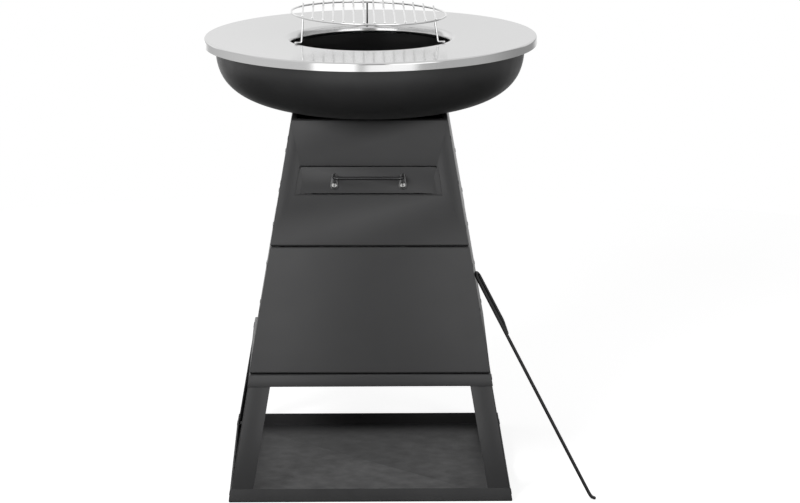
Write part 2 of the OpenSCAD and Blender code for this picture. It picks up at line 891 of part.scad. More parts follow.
module fire_bowl() {
    outer = [for (x = bowl_x) bowl_point(bowl_r, bowl_power, bowl_top_z, bowl_depth, x)];
    inner = [for (x = bowl_x) bowl_point(bowl_r - bowl_t, bowl_power, bowl_top_z, bowl_depth - bowl_t, x)];
    outside = [for (p = outer) if (p[1] < rim_top_z - bowl_t - 1) p];
    inside = [for (p = inner) if (p[1] < rim_top_z - 1) p];
    color("#2a2a2c")
        difference() {
            rotate_extrude($fn = large_fn)
                polygon(concat([[bowl_r - bowl_t, rim_top_z], [bowl_r + bowl_rim, rim_top_z],
                    [bowl_r + bowl_rim, rim_top_z - bowl_t], [bowl_r, rim_top_z - bowl_t]],
                    outside, [for (i = [len(inside) - 1:-1:0]) inside[i]]));
            translate([0, 0, bowl_top_z - bowl_depth - 10])
                cylinder(d = ash_hole_d, h = 30, $fn = 2 * small_fn);
            for (i = [0:air_holes - 1])
                rotate([0, 0, (i + 0.5) * 360 / air_holes])
                    translate([air_ring_r, 0, bowl_top_z - bowl_depth - 10])
                        cylinder(d = air_hole_d, h = 30, $fn = small_fn);
        }
}

module hot_plate() {
    path = [[plate_r, plate_z - rim_h], [plate_r, plate_z],
        [mouth_r, plate_z - dish], [mouth_r, plate_z - dish - lip_h]];
    color("silver")
        rotate_extrude($fn = large_fn)
            polygon(sheet_outline(path, [0, rim_bend, lip_r, 0], plate_t, 2 * bend_steps));
}

// the ring's own place, a little askew on its legs
module at_ring() {
    translate([-ring_shift, 0, ring_z])
        rotate([-ring_pitch, ring_roll, ring_turn])
            children();
}

module grate_ring() {
    color("silver")
        at_ring()
            rotate_extrude($fn = large_fn)
                translate([ring_r, 0])
                    circle(d = ring_d, $fn = small_fn);
}

module grate_bars() {
    color("silver")
        at_ring()
            for (i = [0:bars - 1]) {
                x = (i - (bars - 1) / 2) * bar_pitch;
                l = 2 * (sqrt(ring_r * ring_r - x * x) + bar_over);
                translate([x, 0, ring_d / 2 + bar_d / 2 + 0.02])
                    rotate([90, 0, 0])
                        cylinder(d = bar_d, h = l, center = true, $fn = small_fn);
            }
}

// a leg stands inside the ring, with its top end at the middle of the ring's wire
module grate_leg(a) {
    in = leg_top(a);
    top = [in, ring_z - (ring_n[0] * (in * cos(a) + ring_shift) + ring_n[1] * in * sin(a)) / ring_n[2]];
    low = [foot_in, foot_touch[1] - (foot_touch[0] - foot_in) * tan(foot_slope)];
    end = [foot_r, foot_touch[1] + (foot_r - foot_touch[0]) * tan(foot_slope)];
    color("silver")
        rotate([0, 0, a])
            rotate([90, 0, 0])
                rod([top, low, end], foot_bend, foot_d, true, foot_knot);
}

// where a leg's top touches the ring from inside
function leg_top(a) = let(r = ring_r - ring_d / 2 - foot_d / 2 - 0.05)
    -ring_shift * cos(a) + sqrt(r * r - ring_shift * ring_shift * sin(a) * sin(a));

module grate_leg_rear() {
    grate_leg(rear_leg_at);
}

module grate_leg_left() {
    grate_leg(210);
}

module grate_leg_right() {
    grate_leg(330);
}

module poker() {
    r = loop_w / 2;
    hook_in = hook_point(hook_bend, hook_turn, 0);
    color("#1c1c1e")
        at_tier(1)
            translate([poker_x, poker_y, poker_z])
                rotate([0, poker_steep, poker_turn]) {
                    rotate([poker_roll, 0, 0]) {
                        rod([[r, 0], [poker_l, 0]], r, poker_d);
                        translate([r, r, 0])
                            rotate([0, 0, 90])
                                rotate_extrude(angle = 180, $fn = 4 * small_fn)
                                    translate([r, 0])
                                        circle(d = poker_d, $fn = small_fn);
                        rod([[r, loop_w], [loop_l - 30, loop_w], [loop_l, poker_d + 0.06]],
                            24, poker_d, true, knot);
                        for (p = [[r, 0], [r, loop_w]])
                            translate(p)
                                sphere(d = poker_d + knot, $fn = small_fn);
                    }
                    rotate([hook_roll, 0, 0]) {
                        for (p = [[poker_l, 0], [poker_l + hook_in[0], -hook_in[1]]])
                            translate(p)
                                sphere(d = poker_d + knot, $fn = small_fn);
                        translate([poker_l, 0, 0])
                            hook();
                    }
                }
}

module hook() {
    translate([0, -hook_bend, 0])
        rotate([0, 0, 90 - hook_turn])
            rotate_extrude(angle = hook_turn, $fn = 4 * small_fn)
                translate([hook_bend, 0])
                    circle(d = poker_d, $fn = small_fn);
    e = hook_point(hook_bend, hook_turn, 0);
    translate([e[0], -e[1], 0])
        rotate([0, 0, -hook_turn])
            rotate([0, 90, 0])
                round_bar(poker_d, hook_l);
}

base_tray();
leg_front_left();
leg_front_right();
leg_rear_left();
leg_rear_right();
leg_bolts();
leg_nuts();
shelf_frame();
middle_front_panel();
middle_right_panel();
middle_rear_panel();
middle_left_panel();
middle_corner_angles();
upper_front_panel();
upper_right_panel();
upper_rear_panel();
upper_left_panel();
upper_corner_angles();
panel_screws();
panel_nuts();
drawer_runner_left();
drawer_runner_right();
ash_drawer();
drawer_front();
drawer_handle();
handle_screws();
handle_nuts();
fire_bowl();
hot_plate();
grate_ring();
grate_bars();
grate_leg_rear();
grate_leg_left();
grate_leg_right();
poker();
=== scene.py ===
"""Visual model of a freestanding charcoal grill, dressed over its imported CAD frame."""
from __future__ import annotations

import logging
import math
from dataclasses import dataclass, field
from enum import Enum
from typing import Callable, Iterable, Sequence

import bmesh
import bpy
from mathutils import Matrix, Vector


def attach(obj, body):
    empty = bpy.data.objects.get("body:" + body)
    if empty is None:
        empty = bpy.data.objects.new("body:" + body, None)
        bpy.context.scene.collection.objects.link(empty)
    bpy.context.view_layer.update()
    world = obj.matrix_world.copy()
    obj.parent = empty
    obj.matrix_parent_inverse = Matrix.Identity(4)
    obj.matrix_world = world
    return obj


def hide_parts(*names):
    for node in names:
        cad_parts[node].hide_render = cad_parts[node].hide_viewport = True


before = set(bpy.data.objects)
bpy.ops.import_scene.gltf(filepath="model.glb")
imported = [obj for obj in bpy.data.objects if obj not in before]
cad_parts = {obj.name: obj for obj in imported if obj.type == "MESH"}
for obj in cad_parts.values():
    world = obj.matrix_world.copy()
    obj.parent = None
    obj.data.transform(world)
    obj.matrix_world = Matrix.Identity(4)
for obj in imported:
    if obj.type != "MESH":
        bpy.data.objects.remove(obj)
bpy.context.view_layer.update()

LOG = logging.getLogger("grill")
MM = 0.001
# The gap between pieces that are fixed to one another, in millimetres
HAIR = 0.02
# The range that most values of a noise lie in
NOISE_LOW, NOISE_HIGH = 0.3, 0.7
# A point at the origin that faces upwards
ORIGIN = (Vector((0, 0, 0)), Vector((0, 0, 1)))
Point = tuple[float, float]
Spot = tuple[Vector, Vector]
Object = bpy.types.Object
Material = bpy.types.Material
Node = bpy.types.Node
Socket = bpy.types.NodeSocket


class Body(str, Enum):
    """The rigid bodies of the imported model."""

    STAND = "stand"
    DRAWER = "drawer"
    BOWL = "bowl"
    PLATE = "plate"
    GRATE = "grate"
    POKER = "poker"


class Side(Enum):
    """The four sides of the stand, by the quarter turns from the front."""

    FRONT = 0
    RIGHT = 1
    REAR = 2
    LEFT = 3


class Slot(str, Enum):
    """The material slots of the record."""

    STAND = "stand_paint"
    DRAWER = "drawer_paint"
    BOWL = "bowl_paint"
    PLATE = "plate_steel"
    GRATE = "grate_wire"
    POKER = "poker_black"
    HANDLE = "handle_black"
    SCREW = "screw_zinc"
    ZINC = "bolt_zinc"
    BOLT = "bolt_black"


# Turns and outlines


def unit(v: Vector) -> Vector:
    """Returns v with a length of one."""
    return v.normalized()


def spin(angle: float, axis: str) -> Matrix:
    """Gives the turn by an angle in degrees about an axis."""
    return Matrix.Rotation(math.radians(angle), 3, axis)


def arc(r: float, angles: Iterable[float], x: float = 0.0, y: float = 0.0) -> list[Point]:
    """Gives points of a circle.

    Args:
        r: The circle's radius.
        angles: Where the points are, in radians.
        x: First coordinate of its centre.
        y: Second coordinate of its centre.

    Returns:
        The points.
    """
    return [(x + r * math.cos(a), y + r * math.sin(a)) for a in angles]


def circle(r: float, n: int, x: float = 0.0, y: float = 0.0) -> list[Point]:
    """Gives n points all round a circle."""
    return arc(r, [2 * math.pi * k / n for k in range(n)], x, y)


def fillet(p: Vector, q: Vector, s: Vector, r: float, steps: int) -> list[Vector]:
    """Rounds the corner q of a path, in two or three dimensions.

    Args:
        p: The point before the corner.
        q: The corner.
        s: The point after the corner.
        r: Radius of the round.
        steps: Number of straight pieces in it.

    Returns:
        The points that replace q.
    """
    u, w = unit(p - q), unit(s - q)
    h = math.acos(max(-1.0, min(1.0, u.dot(w)))) / 2
    if r <= 0 or h > math.pi / 2 - 1e-4:
        return [q.copy()]
    c = q + unit(u + w) * (r / math.sin(h))
    a = q + u * (r / math.tan(h)) - c
    b = q + w * (r / math.tan(h)) - c
    turn = math.pi - 2 * h
    out = []
    for i in range(steps + 1):
        t = i / steps
        out.append(c + (a * math.sin((1 - t) * turn) + b * math.sin(t * turn)) / math.sin(turn))
    return out


def rounded(pts: Sequence[Vector], radii: Sequence[float], steps: int,
            closed: bool = False) -> list[Vector]:
    """Rounds the corners of a path.

    Args:
        pts: The path's corners.
        radii: A radius for each corner.
        steps: Straight pieces in each round.
        closed: Whether the last corner joins the first.

    Returns:
        The rounded path's points.
    """
    n = len(pts)
    out: list[Vector] = []
    for i, q in enumerate(pts):
        if not closed and i in (0, n - 1):
            out.append(q.copy())
        else:
            out.extend(fillet(pts[i - 1], q, pts[(i + 1) % n], radii[i], steps))
    return out


def sheet_outline(pts: Sequence[Point], radii: Sequence[float], t: float, steps: int) -> list[Vector]:
    """Gives the closed outline of a bent sheet.

    Args:
        pts: The path of one face of the sheet.
        radii: The radius of each bend on that face.
        t: Thickness, to the left of the path.
        steps: Straight pieces in each bend.

    Returns:
        The outline's points, in order.
    """
    path = [Vector(p) for p in pts]
    n = len(path)
    back, back_radii = [], []
    for i, q in enumerate(path):
        e1 = unit(path[1] - path[0]) if i == 0 else unit(q - path[i - 1])
        e2 = unit(q - path[i - 1]) if i == n - 1 else unit(path[i + 1] - q)
        left = Vector((-e1.y - e2.y, e1.x + e2.x))
        back.append(q + left * (t / (1 + e1.dot(e2))))
        turn = e1.x * e2.y - e1.y * e2.x
        back_radii.append(0 if i in (0, n - 1) else max(0.3, radii[i] - math.copysign(t, turn)))
    return rounded(path, radii, steps) + rounded(back, back_radii, steps)[::-1]


# Meshes


def linked(name: str, data: bpy.types.ID) -> Object:
    """Makes an object of some data and links it to the scene."""
    obj = bpy.data.objects.new(name, data)
    bpy.context.scene.collection.objects.link(obj)
    return obj


def mesh_object(name: str, verts: Sequence[Sequence[float]], faces: Sequence[Sequence[int]],
                sharp: float = 32.0, merge: float = 0.004) -> Object:
    """Makes an object from points in millimetres.

    Args:
        name: The object's name.
        verts: Points, in millimetres.
        faces: Faces, as lists of point numbers.
        sharp: Angle above which an edge stays sharp, in degrees.
        merge: Distance below which points become one, in millimetres.

    Returns:
        The new object, linked to the scene.
    """
    mesh = bpy.data.meshes.new(name)
    mesh.from_pydata([[c * MM for c in v] for v in verts], [], faces)
    obj = linked(name, mesh)
    tidy(obj, merge, sharp)
    return obj


def tidy(obj: Object, merge: float = 0.004, sharp: float = 32.0) -> None:
    """Merges doubles, points the faces outwards and sets the sharp edges.

    Args:
        obj: The object to tidy.
        merge: Merging distance, in millimetres.
        sharp: Angle above which an edge stays sharp, in degrees.
    """
    bm = bmesh.new()
    bm.from_mesh(obj.data)
    bmesh.ops.remove_doubles(bm, verts=bm.verts, dist=merge * MM)
    bmesh.ops.dissolve_degenerate(bm, edges=bm.edges, dist=merge * MM * 0.5)
    bmesh.ops.recalc_face_normals(bm, faces=bm.faces)
    bm.to_mesh(obj.data)
    bm.free()
    smooth(obj, sharp)


def smooth(obj: Object, sharp: float = 32.0, flat_area: float = 0.003) -> None:
    """Shades an object smooth.

    Args:
        obj: The object.
        sharp: Angle above which an edge stays sharp, in degrees.
        flat_area: Faces of this area or more, in square metres, stay flat.
    """
    obj.data.polygons.foreach_set("use_smooth", [p.area < flat_area for p in obj.data.polygons])
    obj.data.set_sharp_from_angle(angle=math.radians(sharp))
    obj.data.update()


def soften(obj: Object, width: float, segments: int = 2, angle: float = 50.0) -> None:
    """Rounds an object's sharp edges a little and applies it.

    Args:
        obj: The object.
        width: Width of the round, in millimetres.
        segments: Faces across the round.
        angle: Edges below this angle are left alone, in degrees.
    """
    mod = obj.modifiers.new("round", "BEVEL")
    mod.width = width * MM
    mod.segments = segments
    mod.limit_method = "ANGLE"
    mod.angle_limit = math.radians(angle)
    mod.use_clamp_overlap = True
    mod.harden_normals = False
    bake(obj)
    smooth(obj)


def bake(obj: Object) -> None:
    """Replaces an object's mesh by the result of its modifiers, and removes them."""
    bpy.context.view_layer.update()
    evaluated = obj.evaluated_get(bpy.context.evaluated_depsgraph_get())
    mesh = bpy.data.meshes.new_from_object(evaluated)
    obj.modifiers.clear()
    old = obj.data
    obj.data = mesh
    mesh.name = obj.name
    if old.users == 0:
        bpy.data.meshes.remove(old)


def cut(obj: Object, cutter: Object) -> None:
    """Takes a cutter's space out of an object and removes the cutter."""
    mod = obj.modifiers.new("cut", "BOOLEAN")
    mod.operation = "DIFFERENCE"
    mod.solver = "EXACT"
    mod.object = cutter
    bake(obj)
    bpy.data.objects.remove(cutter)


def joined(name: str, parts: Sequence[Object]) -> Object:
    """Puts several mesh objects into one.

    Args:
        name: Name of the result.
        parts: The objects, which are removed.

    Returns:
        The new object.
    """
    bm = bmesh.new()
    for part in parts:
        bm.from_mesh(part.data)
    mesh = bpy.data.meshes.new(name)
    bm.to_mesh(mesh)
    bm.free()
    for part in parts:
        bpy.data.objects.remove(part)
    obj = linked(name, mesh)
    smooth(obj)
    return obj


def move(obj: Object, place: Callable[[Vector], Vector]) -> Object:
    """Moves every point of an object's mesh.

    Args:
        obj: The object.
        place: Gives a point's new place, both in millimetres.

    Returns:
        The object.
    """
    for v in obj.data.vertices:
        v.co = place(v.co / MM) * MM
    obj.data.update()
    return obj


def skin(rows: int, n: int, closed: bool = False) -> list[list[int]]:
    """Gives the faces between rows of points.

    Args:
        rows: Number of rows.
        n: Number of points in a row, which is a ring.
        closed: Whether the last row joins the first.

    Returns:
        The faces, as lists of point numbers.
    """
    faces = []
    for j in range(rows if closed else rows - 1):
        a, b = j * n, (j + 1) % rows * n
        faces += [[a + i, a + (i + 1) % n, b + (i + 1) % n, b + i] for i in range(n)]
    return faces


def prism(name: str, outline: Sequence[Sequence[float]], place: Callable[[float, float, float], Vector],
          h0: float, h1: float) -> Object:
    """Runs a flat outline between two heights.

    Args:
        name: The object's name.
        outline: The outline's points, in millimetres.
        place: Gives a point's place from its two coordinates and its height.
        h0: The lower height.
        h1: The upper height.

    Returns:
        The closed solid.
    """
    n = len(outline)
    verts = [place(p[0], p[1], h) for h in (h0, h1) for p in outline]
    return mesh_object(name, verts, [list(range(n)), list(range(n, 2 * n)), *skin(2, n)])


def lathe(name: str, profile: Sequence[Sequence[float]], steps: int = 256) -> Object:
    """Turns a closed profile of radius and height about the upright axis."""
    verts = [(p[0] * c, p[0] * s, p[1]) for c, s in circle(1.0, steps) for p in profile]
    return mesh_object(name, verts, skin(steps, len(profile), True))


def tube(name: str, path: Sequence[Vector], d: float, sides: int = 20,
         round_start: bool = False, round_end: bool = False) -> Object:
    """Sweeps a round section along a path, with flat or rounded ends.

    Args:
        name: The object's name.
        path: The middle line, in millimetres.
        d: Diameter, in millimetres.
        sides: Faces round the section.
        round_start: Whether the start is a half ball.
        round_end: Whether the end is a half ball.

    Returns:
        The closed tube.
    """
    last = len(path) - 1
    tangents = [unit(path[min(i + 1, last)] - path[max(i - 1, 0)]) for i in range(last + 1)]
    normal = unit(tangents[0].orthogonal())
    rings: list[tuple[Vector, Vector, Vector, float]] = []
    for i, p in enumerate(path):
        if i:
            normal = unit(tangents[i - 1].rotation_difference(tangents[i]) @ normal)
        rings.append((p, normal, tangents[i], d / 2))
    caps = arc(1.0, map(math.radians, (15, 35, 55, 75)))
    if round_end:
        p, nrm, tan, r = rings[-1]
        rings += [(p + tan * r * s, nrm, tan, r * c) for c, s in caps]
    if round_start:
        p, nrm, tan, r = rings[0]
        rings = [(p - tan * r * s, nrm, tan, r * c) for c, s in caps[::-1]] + rings
    verts = [p + (nrm * c + tan.cross(nrm) * s) * r
             for p, nrm, tan, r in rings for c, s in circle(1.0, sides)]
    n = len(verts)
    faces = [*skin(len(rings), sides), list(range(sides)), list(range(n - sides, n))]
    return mesh_object(name, verts, faces, sharp=40.0)


# Node trees


class Value:
    """A number that a node tree works out; the usual signs add the nodes of a sum to the tree."""

    def __init__(self, tree: Tree, socket: Socket) -> None:
        """Holds the socket that gives the number."""
        self.tree = tree
        self.socket = socket

    def __add__(self, other: Value | float) -> Value:
        """Adds a number."""
        return self.tree.math("ADD", self, other)

    def __sub__(self, other: Value | float) -> Value:
        """Takes a number away."""
        return self.tree.math("SUBTRACT", self, other)

    def __rsub__(self, other: float) -> Value:
        """Takes this value away from a number."""
        return self.tree.math("SUBTRACT", other, self)

    def __mul__(self, other: Value | float) -> Value:
        """Multiplies by a number."""
        return self.tree.math("MULTIPLY", self, other)

    def __rtruediv__(self, other: float) -> Value:
        """Divides a number by this value."""
        return self.tree.math("DIVIDE", other, self)

    def __pow__(self, other: Value | float) -> Value:
        """Raises this value to a power."""
        return self.tree.math("POWER", self, other)


@dataclass(frozen=True)
class Ramp:
    """A soft step from one level to another.

    Attributes:
        start: Value at which it starts.
        end: Value at which it ends.
        low: Level before it.
        high: Level after it.
    """

    start: float
    end: float
    low: float = 0.0
    high: float = 1.0


class Tree:
    """A node group that is built line by line."""

    def __init__(self, group: bpy.types.NodeTree) -> None:
        """Wraps a tree."""
        self.group = group
        self.nodes = group.nodes
        self.links = group.links

    def add(self, kind: str, inputs: dict[str | int, object] | None = None, **settings: object) -> Node:
        """Adds a node, sets its properties, and sets or links its inputs.

        Args:
            kind: The node's type.
            inputs: Numbers, values or sockets for its inputs, by name or number.
            **settings: Its properties.

        Returns:
            The node.
        """
        node = self.nodes.new(kind)
        for key, value in settings.items():
            setattr(node, key, value)
        for key, value in (inputs or {}).items():
            source = value.socket if isinstance(value, Value) else value
            if isinstance(source, Socket):
                self.links.new(source, node.inputs[key])
            else:
                node.inputs[key].default_value = source
        return node

    def math(self, operation: str, a: Value | float, b: Value | float = 0.0) -> Value:
        """Adds a sum of one or two numbers and returns its result."""
        return Value(self, self.add("ShaderNodeMath", {0: a, 1: b}, operation=operation).outputs[0])

    def vector(self, x: Value | float = 0.0, y: Value | float = 0.0, z: Value | float = 0.0) -> Socket:
        """Puts three numbers together to a vector."""
        return self.add("ShaderNodeCombineXYZ", {0: x, 1: y, 2: z}).outputs[0]

    def parts(self, vector: Socket) -> list[Value]:
        """Takes a vector's three numbers apart."""
        return [Value(self, part) for part in self.add("ShaderNodeSeparateXYZ", {0: vector}).outputs]

    def step(self, value: Value, ramp: Ramp) -> Value:
        """Adds a ramp over a value and returns its level."""
        levels = {0: value, 1: ramp.start, 2: ramp.end, 3: ramp.low, 4: ramp.high}
        node = self.add("ShaderNodeMapRange", levels, interpolation_type="SMOOTHSTEP")
        return Value(self, node.outputs[0])

    def band(self, value: Value, start: float, end: float, soft: float) -> Value:
        """Adds a plateau of 1 between two values, with soft flanks, and returns its level."""
        half = soft / 2
        return (self.step(value, Ramp(start - half, start + half))
                * self.step(value, Ramp(end - half, end + half, 1.0, 0.0)))

    def mix(self, share: Socket, first: Socket, second: Socket) -> Socket:
        """Mixes two shaders, all of the second where the share is 1."""
        return self.add("ShaderNodeMixShader", {0: share, 1: first, 2: second}).outputs[0]


class ShapeTree(Tree):
    """A geometry tree that runs on loose points, with named inputs."""

    def __init__(self, name: str) -> None:
        """Makes a tree that has the points as its only input."""
        super().__init__(bpy.data.node_groups.new(name, "GeometryNodeTree"))
        self.entry: Node = self.nodes.new("NodeGroupInput")
        self.exit: Node = self.nodes.new("NodeGroupOutput")
        self.group.interface.new_socket(name="Points", in_out="INPUT", socket_type="NodeSocketGeometry")

    def numbers(self, defaults: dict[str, float]) -> list[Value]:
        """Adds named inputs.

        Args:
            defaults: Their default values, by name; a whole number makes an input that counts.

        Returns:
            The inputs' values, in the same order.
        """
        values = []
        for name, default in defaults.items():
            kind = "NodeSocketInt" if isinstance(default, int) else "NodeSocketFloat"
            item = self.group.interface.new_socket(name=name, in_out="INPUT", socket_type=kind)
            item.default_value = default
            values.append(Value(self, self.entry.outputs[name]))
        return values

    def moved(self, shape: Node, place: Socket | tuple[float, float, float],
              scale: Socket | tuple[float, float, float] = (1, 1, 1)) -> Socket:
        """Moves and scales what a node gives."""
        return self.add("GeometryNodeTransform", {"Geometry": shape.outputs[0], "Translation": place,
                                                  "Scale": scale}).outputs[0]

    def boolean(self, operation: str, parts: Sequence[Socket], base: Socket | None = None) -> Socket:
        """Unites parts, or takes them out of a base.

        Args:
            operation: The operation's name.
            parts: The parts.
            base: The base, where there is one.

        Returns:
            The resulting geometry.
        """
        node = self.add("GeometryNodeMeshBoolean", operation=operation, solver="EXACT")
        if base is not None:
            self.links.new(base, node.inputs["Mesh 1"])
        for part in parts:
            self.links.new(part, node.inputs["Mesh 2"])
        return node.outputs[0]

    def spread(self, shape: Socket, material: Material) -> None:
        """Ends the tree with the shape at each point, turned the way the point faces."""
        facing = self.add("GeometryNodeInputNamedAttribute", {"Name": "facing"}, data_type="FLOAT_VECTOR")
        turn = self.add("FunctionNodeAlignRotationToVector", {"Vector": facing.outputs[0]}, axis="Z")
        placed = self.add("GeometryNodeInstanceOnPoints", {
            "Points": self.entry.outputs["Points"], "Instance": shape, "Rotation": turn.outputs[0]})
        self.finish(placed.outputs[0], material)

    def finish(self, geometry: Socket, material: Material) -> None:
        """Ends the tree in Realize Instances and Set Material."""
        self.group.interface.new_socket(name="Geometry", in_out="OUTPUT", socket_type="NodeSocketGeometry")
        real = self.add("GeometryNodeRealizeInstances", {"Geometry": geometry})
        done = self.add("GeometryNodeSetMaterial", {"Geometry": real.outputs[0], "Material": material})
        self.links.new(done.outputs[0], self.exit.inputs["Geometry"])

    def grow(self, name: str, values: dict[str, float], spots: Sequence[Spot] = (ORIGIN,)) -> Object:
        """Runs the tree on points and keeps the result as a plain mesh.

        Args:
            name: Name of the finished object.
            values: Values of the tree's inputs, by name.
            spots: The points, each with its direction.

        Returns:
            The finished object.
        """
        obj = points_object(name, spots)
        mod = obj.modifiers.new("grow", "NODES")
        mod.node_group = self.group
        sockets = {i.name: i.identifier for i in self.group.interface.items_tree if i.in_out == "INPUT"}
        for key, value in values.items():
            mod[sockets[key]] = value
        bake(obj)
        return obj


def points_object(name: str, spots: Sequence[Spot]) -> Object:
    """Makes an object of loose points that carry a direction each.

    Args:
        name: The object's name.
        spots: The points, in millimetres, each with its direction.

    Returns:
        The object, whose directions are in its attribute named facing.
    """
    mesh = bpy.data.meshes.new(name)
    mesh.from_pydata([p * MM for p, _ in spots], [], [])
    facing = mesh.attributes.new("facing", "FLOAT_VECTOR", "POINT")
    facing.data.foreach_set("vector", [c for _, n in spots for c in n])
    return linked(name, mesh)


# Finishes


@dataclass(frozen=True)
class Finish:
    """A surface whose colour, gloss and grain vary finely over it.

    Attributes:
        name: Name of the material.
        color: Linear base colour.
        rough: Middle roughness.
        rough_spread: How far the roughness varies.
        metallic: 1 for bare metal, 0 for paint.
        specular: Strength of the clear reflection of paint.
        grain: Size of the fine grain, in millimetres.
        grain_depth: Depth of that grain, in millimetres.
        cloud: Size of the slow changes of tone, in millimetres.
        cloud_depth: How much the tone changes.
    """

    name: str
    color: tuple[float, float, float]
    rough: float = 0.5
    rough_spread: float = 0.05
    metallic: float = 0.0
    specular: float = 0.5
    grain: float = 1.2
    grain_depth: float = 0.03
    cloud: float = 90.0
    cloud_depth: float = 0.06

    def begin(self) -> tuple[Material, Tree, Node, Socket]:
        """Starts the material.

        Returns:
            The material, its tree, its shader and the object coordinates.
        """
        mat = bpy.data.materials.new(self.name)
        mat.use_nodes = True
        tree = Tree(mat.node_tree)
        shader = tree.nodes["Principled BSDF"]
        shader.inputs["Metallic"].default_value = self.metallic
        shader.inputs["Specular IOR Level"].default_value = self.specular
        coords = tree.add("ShaderNodeTexCoord").outputs["Object"]
        mat.diffuse_color = (*self.color, 1.0)
        return mat, tree, shader, coords

    def noise(self, tree: Tree, coords: Socket, size: float, detail: float = 3.0) -> Value:
        """Adds noise of a given size in millimetres and returns its value."""
        node = tree.add("ShaderNodeTexNoise", {
            "Vector": coords, "Scale": 1.0 / (size * MM), "Detail": detail, "Roughness": 0.55})
        return Value(tree, node.outputs[0])

    def tone(self, tree: Tree, shader: Node, value: Value) -> None:
        """Sets the base colour from a value between 0 and 1."""
        ramp = tree.add("ShaderNodeValToRGB", {0: value})
        ends = ((NOISE_LOW, 1 - self.cloud_depth), (NOISE_HIGH, 1 + self.cloud_depth))
        for element, (at, level) in zip(ramp.color_ramp.elements, ends):
            element.position = at
            element.color = (*[c * level for c in self.color], 1)
        tree.links.new(ramp.outputs[0], shader.inputs["Base Color"])

    def gloss(self, tree: Tree, shader: Node, value: Value) -> None:
        """Sets the roughness from a value between 0 and 1."""
        low, high = self.rough - self.rough_spread, self.rough + self.rough_spread
        node = tree.add("ShaderNodeMapRange", {0: value, 1: NOISE_LOW, 2: NOISE_HIGH, 3: low, 4: high})
        tree.links.new(node.outputs[0], shader.inputs["Roughness"])

    def relief(self, tree: Tree, shader: Node, height: Value | Socket, depth: float,
               after: Socket | None = None) -> Socket:
        """Adds a bump of a depth in millimetres and returns its normal."""
        bump = tree.add("ShaderNodeBump", {"Height": height, "Distance": depth * MM, "Strength": 1.0})
        if after is not None:
            tree.links.new(after, bump.inputs["Normal"])
        tree.links.new(bump.outputs[0], shader.inputs["Normal"])
        return bump.outputs[0]

    def make(self) -> Material:
        """Builds the material."""
        mat, tree, shader, coords = self.begin()
        self.tone(tree, shader, self.noise(tree, coords, self.cloud))
        self.gloss(tree, shader, self.noise(tree, coords, self.cloud * 0.35, 4.0))
        self.relief(tree, shader, self.noise(tree, coords, self.grain), self.grain_depth)
        return mat


@dataclass(frozen=True)
class PowderCoat(Finish):
    """Powder coat: a fine pebbled skin over a faint, slower waviness."""

    wave: float = 7.0
    wave_depth: float = 0.02

    def make(self) -> Material:
        """Builds the material."""
        mat, tree, shader, coords = self.begin()
        self.tone(tree, shader, self.noise(tree, coords, self.cloud))
        self.gloss(tree, shader, self.noise(tree, coords, self.cloud * 0.3, 4.0))
        wave = self.relief(tree, shader, self.noise(tree, coords, self.wave, 1.0), self.wave_depth)
        cells = tree.add("ShaderNodeTexVoronoi", {"Vector": coords, "Scale": 1.0 / (self.grain * MM)},
                         feature="SMOOTH_F1")
        self.relief(tree, shader, cells.outputs["Distance"], self.grain_depth, wave)
        return mat


@dataclass(frozen=True)
class TurnedSteel(Finish):
    """Satin steel that was polished round its axis: fine rings over a soft cloudiness."""

    ring: float = 0.9
    ring_depth: float = 0.002

    def make(self) -> Material:
        """Builds the material."""
        mat, tree, shader, coords = self.begin()
        x, y, z = tree.parts(coords)
        fine = 1.0 / (self.ring * MM)
        radius = tree.math("SQRT", x * x + y * y)
        rings = tree.vector(radius * fine, tree.math("ARCTAN2", y, x) * 6.0, z * fine)
        node = tree.add("ShaderNodeTexNoise", {
            "Vector": rings, "Scale": 1.0, "Detail": 3.0, "Roughness": 0.6})
        lines = Value(tree, node.outputs[0])
        self.tone(tree, shader, self.noise(tree, coords, self.cloud))
        self.gloss(tree, shader, lines * 0.6 + self.noise(tree, coords, self.cloud * 0.5) * 0.4)
        self.relief(tree, shader, lines, self.ring_depth)
        return mat


